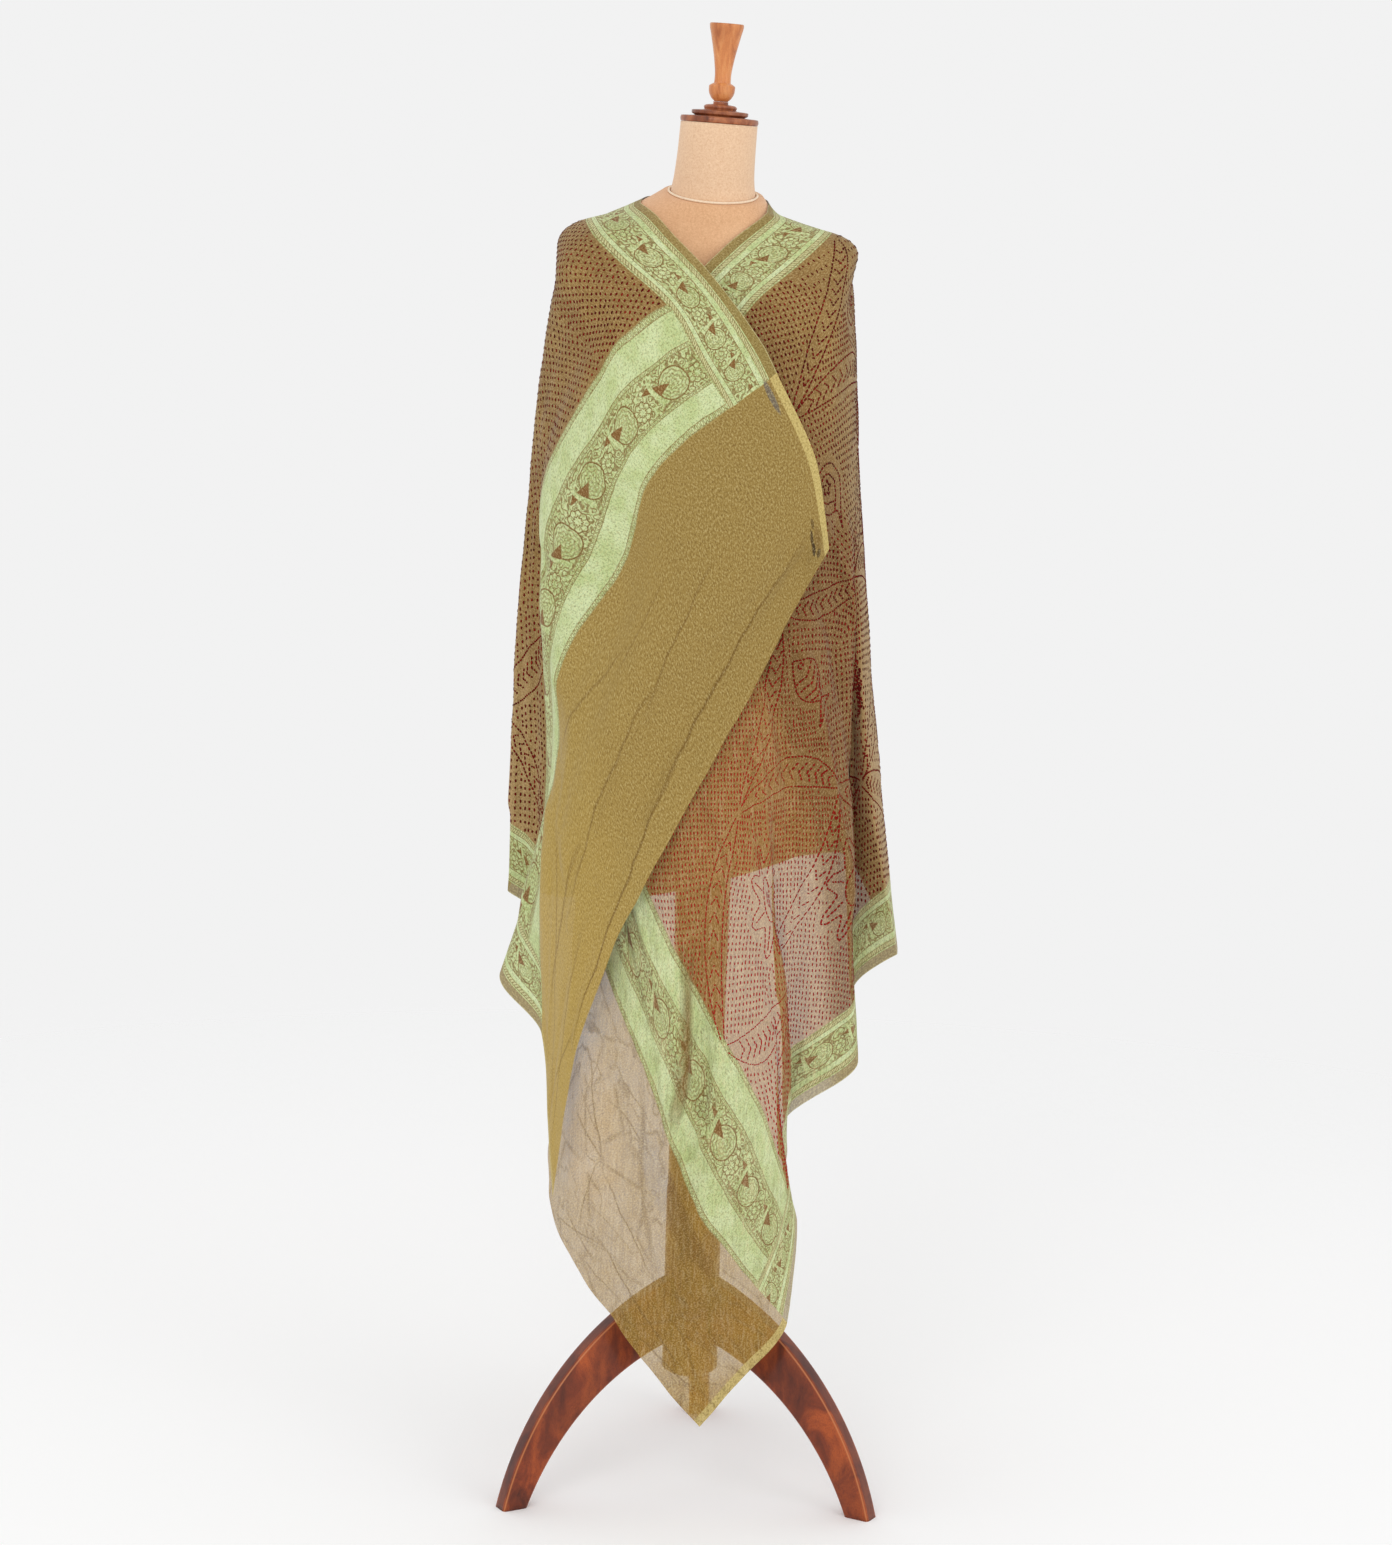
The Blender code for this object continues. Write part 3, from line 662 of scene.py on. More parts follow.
# how the hems wander, with shares of the wander in place of heights
hemWander = (
    Ruffle(0.060, 5.3, 1.0),
    Ruffle(0.026, 2.2, 0.6),
)
knot = {
    "along": 0.022, "across": 0.020, "reach": 0.036, "height": 0.013, "spokes": 7, "betweenSpokes": 0.45,
}


def ridges(rows, along, across):
    # the height of soft ridges and troughs along straight lines, none beyond their half width
    total = np.zeros_like(along)
    for row in rows:
        runAlong = row.endAlong - row.along
        runAcross = row.endAcross - row.across
        squared = runAlong ** 2 + runAcross ** 2
        part = np.clip(((along - row.along) * runAlong + (across - row.across) * runAcross) / squared, 0, 1)
        away = np.hypot(along - row.along - runAlong * part, across - row.across - runAcross * part)
        away = np.minimum(away / row.halfWidth, 1)
        total += row.height * (1 - away * away) ** 2
    return total


def facings(points):
    # the cloth's own facing at each grid point
    return unit(np.cross(np.gradient(points, axis=1), np.gradient(points, axis=0)))


def ruffle(row, along, across):
    # smooth uneven height over the cloth, from noise on a coarse net, -1 to 1
    netAlong = np.arange(0, dupatta["length"] + 2 * row.size, row.size)
    netAcross = np.arange(0, dupatta["width"] + 2 * row.size, row.size)
    stepAlong, stepAcross = dupatta["noiseSteps"]
    layer = row.seed * dupatta["noiseSeedStep"]
    net = [[noise.noise(Vector((i * stepAlong + row.seed, j * stepAcross, layer)))
            for j in range(len(netAcross))] for i in range(len(netAlong))]
    rows = smoothCurve(netAlong, np.array(net) * dupatta["noiseGain"], along[:, 0])
    return smoothCurve(netAcross, rows.T, across[0]).T


def bunch(along, across):
    # the cloth drawn up into a small knot, with short folds running to it
    away = np.hypot(along - knot["along"], across - knot["across"]) / knot["reach"]
    turn = np.arctan2(across - knot["across"], along - knot["along"])
    rays = 0.5 + 0.5 * np.cos(turn * knot["spokes"])
    share = knot["betweenSpokes"] + (1 - knot["betweenSpokes"]) * rays
    return -knot["height"] * np.clip(1 - away, 0, 1) ** 2 * share


def onRibs(along, across):
    # each rib is a curve through its five places, and each line along the cloth a curve through the ribs
    table = np.array(ribs, float)
    spots = placeFromPhoto(table[:, 1::3], table[:, 2::3], table[:, 3::3] / 1000)
    lines = smoothCurve(table[:, 0], spots, along[:, 0])
    return smoothCurve(placesAcross, lines.transpose(1, 0, 2), across[0]).transpose(1, 0, 2)


def moved(points, along, across):
    for shift in clothShifts:
        awayAlong = np.minimum(abs(along - shift.along) / shift.reachAlong, 1)
        awayAcross = np.minimum(abs(across - shift.across) / shift.reachAcross, 1)
        share = (1 - awayAlong ** 2) ** 2 * (1 - awayAcross ** 2) ** 2
        points = points + share[..., None] * np.array([shift.sideways, 0, shift.up])
    return points


def wanderHems(points, along, across):
    # cut and hemmed edges wander a little in the cloth's own plane
    lengthwise = unit(np.gradient(points, axis=0))
    crosswise = unit(np.gradient(points, axis=1))
    toEnd = np.minimum(along, dupatta["length"] - along)
    toSide = np.minimum(across, dupatta["width"] - across)
    ends = np.maximum(1 - toEnd / dupatta["endReach"], 0) ** 2
    sides = np.maximum(1 - toSide / dupatta["sideReach"], 0) ** 2
    bow = sum(row.height * ruffle(row, along, across) for row in hemWander)
    return (points + lengthwise * (dupatta["endWander"] * ends * bow)[..., None]
            + crosswise * (dupatta["sideWander"] * sides * bow)[..., None])


def keepClear(points, tree):
    # pushes out what lies too close to the form
    flat = points.reshape(-1, 3).copy()
    clear = dupatta["clearance"]
    near = [i for i, spot in enumerate(flat) if tree.find_nearest(spot, dupatta["nearForm"])[0] is not None]
    for _ in range(dupatta["clearancePasses"]):
        pushed = []
        for i in near:
            spot, facing, _, _ = tree.find_nearest(flat[i])
            lack = clear - (Vector(flat[i]) - spot).dot(facing)
            if lack > 0:
                flat[i] += np.array(facing) * lack
                pushed.append(i)
        near = pushed
        if not near:
            break
    return flat.reshape(points.shape)


def hangCloth(body):
    along, across = np.meshgrid(np.linspace(0, dupatta["length"], dupatta["stepsAlong"] + 1),
                                np.linspace(0, dupatta["width"], dupatta["stepsAcross"] + 1), indexing="ij")
    tree = BVHTree.FromPolygons([vert.co for vert in body.data.vertices],
                                [tuple(face.vertices) for face in body.data.polygons])
    points = onRibs(along, across)
    points = points + facings(points) * ridges(folds, along, across)[..., None]
    points = keepClear(moved(points, along, across), tree)
    loose = np.clip((along - dupatta["looseFrom"]) / dupatta["looseOver"], 0, 1)
    fine = ridges(creases, along, across) + bunch(along, across)
    for row in crumples:
        fine += (row.height + row.looseHeight * loose) * ruffle(row, along, across)
    points = wanderHems(points + facings(points) * fine[..., None], along, across)
    return keepClear(points, tree)


class Hung:
    # the hung cloth, so that anything worked out flat can be put on it
    def __init__(self, points):
        self.points = points
        self.facing = facings(points)

    def mix(self, grid, along, across):
        # between the grid's points; beyond the edges the cloth goes on straight
        i = along / dupatta["length"] * (grid.shape[0] - 1)
        j = across / dupatta["width"] * (grid.shape[1] - 1)
        low = np.clip(np.floor(i).astype(int), 0, grid.shape[0] - 2)
        left = np.clip(np.floor(j).astype(int), 0, grid.shape[1] - 2)
        di = (i - low)[:, None]
        dj = (j - left)[:, None]
        return ((grid[low, left] * (1 - di) + grid[low + 1, left] * di) * (1 - dj)
                + (grid[low, left + 1] * (1 - di) + grid[low + 1, left + 1] * di) * dj)

    def at(self, along, across):
        return self.mix(self.points, along, across)

    def facingAt(self, along, across):
        return self.mix(self.facing, along, across)

    def slopes(self, along, across, reach=0.006):
        # how the hung cloth moves for each metre along and each metre across the flat one
        return ((self.at(along + reach, across) - self.at(along - reach, across)) / (2 * reach),
                (self.at(along, across + reach) - self.at(along, across - reach)) / (2 * reach))


def makeCloth(points):
    # the UV map has two metres to the unit, so that the whole sheet lies inside 0 to 1
    bm = flatGrid(dupatta["stepsAlong"], dupatta["stepsAcross"], dupatta["length"] / 2, dupatta["width"] / 2)
    for vert in bm.verts:
        row = round((vert.co.x + 0.5) * dupatta["stepsAlong"])
        column = round((vert.co.y + 0.5) * dupatta["stepsAcross"])
        vert.co = points[row, column]
    cloth = addPiece("dupattaCloth", bm, Georgette().finished())
    standIn(cloth, "dupatta")
    print("cloth hung")
    return cloth


# the woven georgette
weave = {
    "strip": 0.011, "selvedge": 0.012, "borderEnd": 0.075, "edge": 0.00035,
    "bandWander": 0.011, "creaseWander": 0.016, "spotWander": 0.004,
    "cellShape": 1.6, "cellsBefore": 40,  # whole cells added, so that no place in the row is below zero
    "borderRow": (0.0272, 0.0610), "rowCentre": 0.0441, "rowHeight": 0.034,
    "bandRow": (0.249, 0.301), "bandCentre": 0.275, "bandHeight": 0.052,
    "ladderPitch": 0.0046, "rungShape": sqrt(5.2), "railWidth": 0.0009, "ropePitch": 0.0036, "ropeSlant": 0.9,
    "teethPitch": 0.0040,
    "plainAlpha": 0.97, "fieldAlpha": 0.91, "lowAlpha": 0.79, "endAlpha": 0.745, "wovenAlpha": 0.985,
    # where the look changes, in metres along the cloth; the tip is where along and across add up to its value
    "field": (0.30, 1.60), "doubled": (1.10, 1.33), "frontLeft": (0.38, 0.56), "backLeft": (0.96, 1.10),
    "lowFrom": 1.315, "crumpledFrom": 1.70, "tipFrom": 2.70,
    "crumpleTurn": 0.5, "crumpleStretch": 0.45, "crumpleScale": 46.0, "crinkleStretch": 0.10,
}
# the uneven patterns in the cloth, as scale, detail and roughness
clouds = {
    "wander": (26, 2, 0.5), "mottle": (34, 4, 0.6), "grain": (900, 2, 0.7), "weft": (480, 2, 0.7),
    "shine": (60, 3, 0.65), "curls": (150, 1.5, 0.5), "ripple": (60, 2, 0.5), "crinkle": (330, 2, 0.6),
}
# the cloth's dyes, with the colours of painted shade and painted highlight
dyesAndPaintedLight = {
    "plain": (rgb(164, 136, 68), rgb(173, 145, 75)), "field": (rgb(140, 106, 54), rgb(157, 122, 66)),
    "topShade": rgb(152, 125, 63), "topLight": rgb(182, 152, 74), "leftLight": rgb(184, 150, 102),
    "doubled": rgb(118, 74, 32), "low": rgb(168, 122, 62), "end": rgb(165, 128, 50),
    "strip": rgb(195, 173, 105), "selvedge": rgb(146, 126, 66),
    "green": (rgb(174, 194, 122), rgb(208, 222, 164)),
    "weftDark": rgb(142, 134, 76), "weftPale": rgb(216, 224, 178),
    "satin": (rgb(188, 206, 142), rgb(214, 228, 178)), "satinDark": rgb(150, 152, 92),
    "cream": rgb(208, 202, 150), "brown": rgb(124, 96, 46), "wedge": rgb(128, 88, 40),
    "creaseShade": rgb(112, 82, 26), "crinkleShade": rgb(104, 72, 32), "crinkleHighlight": rgb(228, 206, 160),
    "grainDark": rgb(96, 68, 26), "grainPale": rgb(226, 208, 150),
}
# one cell of the woven motif row, in row heights from its middle: a round-bodied bird with a curved neck,
# and a flower between the birds
bird = {
    "bodyX": 0.20, "bodyY": -0.03, "body": 0.375, "outline": 0.385,
    "rings": 66, "scallops": 9, "scallopDepth": 1.3,
    "neckX": -0.30, "neckHalf": 0.055, "neckSway": 0.07, "neckBend": 5.5, "neckEnds": (-0.34, 0.36),
    "base": -0.40, "baseHalf": 0.30, "wedgeFrom": 0.06,
    "rightTip": 0.13, "rightLevel": 0.03, "rightSpread": 0.42,
    "leftTip": -0.66, "leftLevel": 0.20, "leftSpread": 0.36,
}
flower = {
    "x": 0.80, "y": -0.12, "petals": 8, "petalDepth": 0.018, "outline": 0.235, "heart": 0.10, "reach": 0.25,
    "spokes": (0.11, 0.225), "curls": 46,
}
# stripes of the long border, in metres in from the cloth's outer edge; the rest of it is plain green
Stripe = namedtuple("Stripe", "start end look")
borderStripes = (
    Stripe(0.0000, 0.0009, "cream"), Stripe(0.0135, 0.0142, "brown"), Stripe(0.0142, 0.0185, "rope"),
    Stripe(0.0185, 0.0192, "brown"), Stripe(0.0208, 0.0265, "pale"), Stripe(0.0265, 0.0272, "brown"),
    Stripe(0.0610, 0.0617, "brown"), Stripe(0.0617, 0.0670, "pale"), Stripe(0.0670, 0.0677, "brown"),
    Stripe(0.0677, 0.0723, "rope"), Stripe(0.0723, 0.0730, "brown"), Stripe(0.0730, 0.0750, "teeth"),
)
# stripes of the end bands, in metres in from the cloth's end
bandStripes = (
    Stripe(0.200, 0.208, "ladder"), Stripe(0.208, 0.243, "satin"), Stripe(0.243, 0.249, "ladder"),
    Stripe(0.301, 0.307, "ladder"), Stripe(0.307, 0.342, "satin"), Stripe(0.342, 0.350, "ladder"),
)
# thin pressed creases, as straight lines on the flat cloth, each painted as a dark line of shade
Crease = namedtuple("Crease", "along across endAlong endAcross half depth")
pressed = (
    Crease(0.048, 0.020, 0.026, 0.440, 0.0024, 1.00), Crease(0.032, 0.300, 0.012, 0.720, 0.0024, 0.95),
    Crease(0.110, 0.170, 0.082, 0.360, 0.0020, 0.75), Crease(0.088, 0.300, 0.094, 0.640, 0.0022, 0.72),
    Crease(0.135, 0.250, 0.127, 0.400, 0.0018, 0.50), Crease(0.132, 0.350, 0.176, 0.580, 0.0020, 0.58),
    Crease(0.100, 0.540, 0.134, 0.800, 0.0032, 0.62), Crease(0.155, 0.600, 0.086, 0.880, 0.0028, 0.62),
    Crease(0.060, 0.600, 0.054, 0.900, 0.0030, 0.60), Crease(0.016, 0.680, 0.090, 0.860, 0.0026, 0.56),
    Crease(1.545, 0.470, 1.715, 0.570, 0.0150, 0.95), Crease(1.885, 0.740, 1.872, 0.880, 0.0022, 0.75),
    Crease(1.785, 0.400, 1.803, 0.570, 0.0017, 0.80), Crease(1.822, 0.470, 1.799, 0.562, 0.0017, 0.70),
    Crease(1.799, 0.545, 1.866, 0.605, 0.0016, 0.75), Crease(1.805, 0.560, 1.816, 0.735, 0.0015, 0.78),
    Crease(1.895, 0.560, 1.850, 0.650, 0.0018, 0.75), Crease(1.852, 0.620, 1.857, 0.760, 0.0018, 0.85),
    Crease(1.854, 0.690, 1.866, 0.850, 0.0018, 0.85), Crease(1.774, 0.480, 1.745, 0.590, 0.0015, 0.66),
    Crease(1.758, 0.440, 1.734, 0.550, 0.0016, 0.60), Crease(1.738, 0.500, 1.752, 0.580, 0.0014, 0.60),
    Crease(1.762, 0.405, 1.818, 0.485, 0.0015, 0.60), Crease(1.808, 0.445, 1.796, 0.530, 0.0014, 0.55),
    Crease(1.868, 0.570, 1.880, 0.660, 0.0015, 0.66), Crease(1.880, 0.600, 1.840, 0.680, 0.0014, 0.60),
    Crease(1.724, 0.470, 1.812, 0.730, 0.0052, 0.50), Crease(1.890, 0.630, 1.872, 0.740, 0.0014, 0.60),
    Crease(1.842, 0.560, 1.820, 0.690, 0.0013, 0.45), Crease(1.430, 0.760, 1.560, 0.540, 0.0018, 0.30),
)
# coloured spots, as uneven ovals on the flat cloth: a stain, painted shade in the hollow beside the knotted
# corner, a painted shadow of a fold over the sheer end, and painted light over a shadow beside the opaque
# strip
StainShadeLightSpot = namedtuple("StainShadeLightSpot", "along across halfAlong halfAcross strength colour")
stainShadeAndLightSpots = (
    StainShadeLightSpot(0.184, 0.0190, 0.021, 0.0042, 0.85, (106, 100, 92)),
    # painted shade in the hollow beside the knotted corner
    StainShadeLightSpot(0.030, 0.0205, 0.0140, 0.0060, 0.60, (124, 92, 42)),
    StainShadeLightSpot(0.050, 0.0245, 0.0065, 0.0032, 0.75, (92, 68, 26)),
    StainShadeLightSpot(0.038, 0.0300, 0.0100, 0.0028, 0.90, (62, 42, 16)),
    StainShadeLightSpot(0.024, 0.0290, 0.0085, 0.0030, 0.95, (52, 34, 14)),
    StainShadeLightSpot(0.014, 0.0225, 0.0050, 0.0042, 0.85, (70, 50, 20)),
    # painted shadow of a fold hanging in front
    StainShadeLightSpot(1.750, 0.650, 0.0170, 0.1200, 0.30, (84, 54, 22)),
    # painted light, lifting a shadow beside the opaque strip
    StainShadeLightSpot(1.815, 0.450, 0.0500, 0.1700, 0.22, (212, 168, 100)),
)


class Georgette(Finish):
    # the crepe and the places on it: along and across are metres on the flat cloth, edge is the way in from
    # the nearer side, inward the way in from the nearer end
    def __init__(self):
        super().__init__("georgetteWoven", Roughness=0.8, Sheen_Weight=0.15, Specular_IOR_Level=0.25)
        soft = weave["edge"]
        self.flat = self.flatMap()
        halfAlong, halfAcross, _ = self.parts(self.flat)
        self.along = halfAlong * 2
        self.across = halfAcross * 2
        self.wander = self.cloud(self.flat, *clouds["wander"]) - 0.5
        self.mottle = self.cloud(self.flat, *clouds["mottle"])
        self.grain = self.cloud(self.flat, *clouds["grain"])
        self.edge = self.across.least(dupatta["width"] - self.across)
        self.inward = self.along.least(dupatta["farShift"] - self.along) + self.wander * weave["bandWander"]
        self.ownEnd = self.inward.under(dupatta["plainEnd"], soft)
        self.band = (self.inward.between(dupatta["plainEnd"], dupatta["bandEnd"], soft)
                     * self.edge.step(weave["borderEnd"], soft))
        self.border = self.edge.between(weave["selvedge"], weave["borderEnd"], soft) * (1 - self.ownEnd)
        self.woven = self.band.most(self.border)
        self.strip = self.edge.under(weave["strip"], 0.0006) * self.ownEnd
        self.topPart = self.along.under(dupatta["plainEnd"], 0.001)
        self.lowPart = self.along.step(weave["lowFrom"], 0.012)
        self.crumpled = self.along.step(weave["crumpledFrom"], 0.05)

    def rowCell(self):
        # x and y over one cell of the border's row or the band's
        shape = weave["cellShape"]
        lateHalf = self.along > dupatta["length"] / 2
        farSide = self.across > dupatta["width"] / 2
        borderPart = 1 - self.along / (weave["rowHeight"] * shape)
        bandPart = self.across * (lateHalf * 2 - 1) / (weave["bandHeight"] * shape)
        borderX = ((borderPart + weave["cellsBefore"]).fraction() - 0.5) * shape
        borderY = (self.edge - weave["rowCentre"]) * (farSide * 2 - 1) / weave["rowHeight"]
        bandX = ((bandPart + weave["cellsBefore"]).fraction() - 0.5) * shape
        bandY = (self.inward - weave["bandCentre"]) / weave["bandHeight"]
        onBorder = 1 - self.band
        return borderX * onBorder + bandX * self.band, borderY * onBorder + bandY * self.band

    def motifRow(self):
        # the drawn lines of the row, and the solid wedges at the bird's neck
        x, y = self.rowCell()
        bodyX = x - bird["bodyX"]
        bodyY = y - bird["bodyY"]
        bodyAway = bodyX.distance(bodyY)
        scallops = (bodyY.math("ARCTAN2", bodyX) * bird["scallops"]).sine()
        body = bodyAway.under(bird["body"], 0.01)
        rings = (bodyAway * bird["rings"] + scallops * bird["scallopDepth"]).sine().step(0.35, 0.3)
        neckX = x - bird["neckX"] + (y * bird["neckBend"]).sine() * bird["neckSway"]
        neck = abs(neckX).under(bird["neckHalf"], 0.012) * y.between(*bird["neckEnds"], 0.02)
        base = y.line(bird["base"], 0.03, 0.015) * x.between(-bird["baseHalf"], bird["baseHalf"], 0.03)
        right = y.line(bird["rightLevel"], (bird["rightTip"] - x) * bird["rightSpread"], 0.015)
        right = right * neckX.step(bird["wedgeFrom"], 0.015) * x.under(bird["rightTip"] - 0.01, 0.02)
        left = y.line(bird["leftLevel"], (x - bird["leftTip"]) * bird["leftSpread"], 0.015)
        left = left * neckX.under(-bird["wedgeFrom"], 0.015) * x.step(bird["leftTip"] + 0.02, 0.02)
        wedge = right.most(left)

        flowerX = flower["x"] - abs(x)
        flowerY = y - flower["y"]
        flowerTurn = flowerY.math("ARCTAN2", flowerX)
        petals = (flowerX.distance(flowerY)
                  + (flowerTurn * flower["petals"]).math("COSINE") * flower["petalDepth"])
        spokes = abs((flowerTurn * (flower["petals"] / 2)).sine()).under(0.30, 0.12)
        spokes = spokes * petals.between(*flower["spokes"], 0.01)

        curls = (self.cloud(self.flat, *clouds["curls"]) * flower["curls"]).sine().step(0.25, 0.35)
        rest = (1 - body) * petals.step(flower["reach"], 0.01) * (1 - neck)
        lines = bodyAway.line(bird["outline"], 0.018, 0.01).most(petals.line(flower["outline"], 0.016, 0.01))
        lines = lines.most(petals.line(flower["heart"], 0.014, 0.01)).most(spokes * 0.8)
        lines = lines.most(curls * rest * 0.8).most(rings * body * 0.55).most(base * 0.7)
        return (lines * (1 - neck)).most(wedge), wedge

    def stripes(self):
        # how much of the border's and the bands' stripes is pale or cream thread, and how much is brown
        soft = weave["edge"]
        slant = ((self.along + self.edge * weave["ropeSlant"]) / weave["ropePitch"]).fraction()
        rope = abs(slant - 0.5).step(0.32, 0.08)
        teeth = abs((self.along / weave["teethPitch"]).fraction() - 0.5).step(0.25, 0.06)
        brownShare = {"brown": 1, "rope": rope * 0.75, "teeth": teeth * 0.5}
        creamShare = {"cream": 0.7, "rope": (1 - rope) * 0.7}
        pale = cream = brown = self.band * 0
        onBorder = (1 - self.ownEnd) * (1 - self.band)
        for stripe in borderStripes:
            area = self.edge.between(stripe.start, stripe.end, soft * 0.7) * onBorder
            if stripe.look in brownShare:
                brown = brown.most(area * brownShare[stripe.look])
            if stripe.look in creamShare:
                cream = cream.most(area * creamShare[stripe.look])
            if stripe.look == "pale":
                pale = pale.most(area)
        rung = abs((self.across / weave["ladderPitch"]).fraction() - 0.5) * weave["rungShape"]
        for stripe in bandStripes:
            half = (stripe.end - stripe.start) / 2
            off = abs(self.inward - (stripe.start + stripe.end) / 2)
            area = self.band * off.under(half, soft)
            if stripe.look == "ladder":
                brown = brown.most(area * rung.distance(off / half).line(0.78, 0.16, 0.12) * 0.85)
                brown = brown.most(area * off.step(half - weave["railWidth"], 0.0003) * 0.8)
            else:
                pale = pale.most(area * 0.75)
        return pale, cream, brown

    def ground(self):
        # the unpatterned crepe: lighter or darker where it hangs single, doubled or in shade
        leftLight = (self.along.between(*weave["frontLeft"], 0.05) * self.across.step(0.62, 0.08)).most(
            self.along.between(*weave["backLeft"], 0.03) * self.across.step(0.50, 0.10) * 0.8)
        plain = self.blend(self.mottle.step(0.5, 0.3), *dyesAndPaintedLight["plain"])
        field = self.blend(self.mottle.step(0.5, 0.2), *dyesAndPaintedLight["field"])
        return self.layered(plain, (
            (self.topPart * self.across.under(0.42, 0.34), dyesAndPaintedLight["topShade"]),
            (self.topPart * self.across.step(0.60, 0.20), dyesAndPaintedLight["topLight"]),
            (self.along.between(*weave["field"], 0.02), field),
            (leftLight * 0.75, dyesAndPaintedLight["leftLight"]),
            (self.along.between(*weave["doubled"], 0.05) * 0.60, dyesAndPaintedLight["doubled"]),
            (self.lowPart, dyesAndPaintedLight["low"]),
            (self.along.step(weave["field"][1], 0.02), dyesAndPaintedLight["end"])))

    def threads(self):
        # the green thread of the woven parts, and the satin of the pale stripes
        weft = self.cloud(self.flat, *clouds["weft"])
        shine = self.cloud(self.flat, *clouds["shine"])
        thread = self.layered(self.blend(self.mottle.step(0.5, 0.25), *dyesAndPaintedLight["green"]), (
            (weft.step(0.56, 0.10) * 0.60, dyesAndPaintedLight["weftDark"]),
            (weft.under(0.44, 0.10) * 0.45, dyesAndPaintedLight["weftPale"])))
        satin = self.blend(shine.step(0.50, 0.16), *dyesAndPaintedLight["satin"])
        return thread, self.blend(weft.step(0.58, 0.10) * 0.35, satin, dyesAndPaintedLight["satinDark"])

    def colours(self):
        drawn, wedge = self.motifRow()
        pale, cream, brown = self.stripes()
        thread, satin = self.threads()
        soft = weave["edge"]
        rowArea = (self.band * self.inward.between(*weave["bandRow"], soft)).most(
            self.border * self.edge.between(*weave["borderRow"], soft))
        colour = self.layered(self.ground(), (
            (self.strip, dyesAndPaintedLight["strip"]),
            (self.edge.under(weave["selvedge"], soft) * (1 - self.ownEnd), dyesAndPaintedLight["selvedge"]),
            (self.woven, thread),
            (pale * self.woven, satin),
            (cream, dyesAndPaintedLight["cream"]),
            (brown.most(drawn * rowArea).least(1) * self.woven, dyesAndPaintedLight["brown"]),
            (wedge * rowArea, dyesAndPaintedLight["wedge"])))
        # the stain, and the painted shade and painted light, each as an uneven oval
        for spotRow in stainShadeAndLightSpots:
            spotAlong = (self.along - spotRow.along) / spotRow.halfAlong
            spotAcross = (self.across - spotRow.across + self.wander * weave["spotWander"]) / spotRow.halfAcross
            spot = (spotAlong * spotAlong + spotAcross * spotAcross + self.grain).under(1.35, 0.35)
            colour = self.blend(spot * spotRow.strength, colour, rgb(*spotRow.colour))
        return colour

    def creaseShading(self):
        # each crease is a line of painted shade that fades towards its ends
        wavyAlong = self.along + self.wander * weave["creaseWander"]
        wavy = self.add("ShaderNodeCombineXYZ", {}, {0: wavyAlong, 1: self.across, 2: 1.0})
        shade = self.band * 0
        for crease in pressed:
            run = Vector((crease.endAlong - crease.along, crease.endAcross - crease.across))
            middle = Vector((crease.endAlong + crease.along, crease.endAcross + crease.across)) / 2
            ahead = run / run.length
            aside = Vector((ahead.y, -ahead.x))
            part = wavy.dot((*(ahead * 2 / run.length), -middle.dot(ahead) * 2 / run.length))
            off = wavy.dot((*(aside / crease.half), -middle.dot(aside) / crease.half))
            shade = shade.most((1 - abs(off).most(part * part)) * crease.depth)
        return shade

    def sheerness(self, shade):
        # thin over the hanging end, close where the cloth lies doubled, is woven or is creased
        tip = (self.along + self.across).step(weave["tipFrom"], 0.06)
        alpha = weave["fieldAlpha"] + (weave["lowAlpha"] - weave["fieldAlpha"]) * self.lowPart
        alpha = alpha + (weave["plainAlpha"] - alpha) * self.topPart
        alpha = alpha + (weave["endAlpha"] - weave["lowAlpha"]) * self.crumpled
        alpha = alpha + (1 - alpha) * tip * 0.5 + (self.mottle - 0.5) * self.crumpled * 0.3
        for share in (shade * 0.8, self.strip * 0.9):
            alpha = alpha + (1 - alpha) * share
        return alpha + (weave["wovenAlpha"] - alpha) * self.woven

    def finished(self):
        # fine broken creases over the crumpled end, upright crinkles over the rest, and the weave's grain;
        # painted shade lies in the creases, painted highlight and shade on the crinkles
        turn = (0, 0, weave["crumpleTurn"])
        stretch = (1, weave["crumpleStretch"], 1)
        tilted = self.add("ShaderNodeMapping", {}, {"Vector": self.flat, "Rotation": turn, "Scale": stretch})
        facets = self.add("ShaderNodeTexVoronoi", {"feature": "DISTANCE_TO_EDGE", "voronoi_dimensions": "2D"},
                          {"Vector": tilted, "Scale": weave["crumpleScale"]})
        ripple = self.cloud(tilted, *clouds["ripple"])
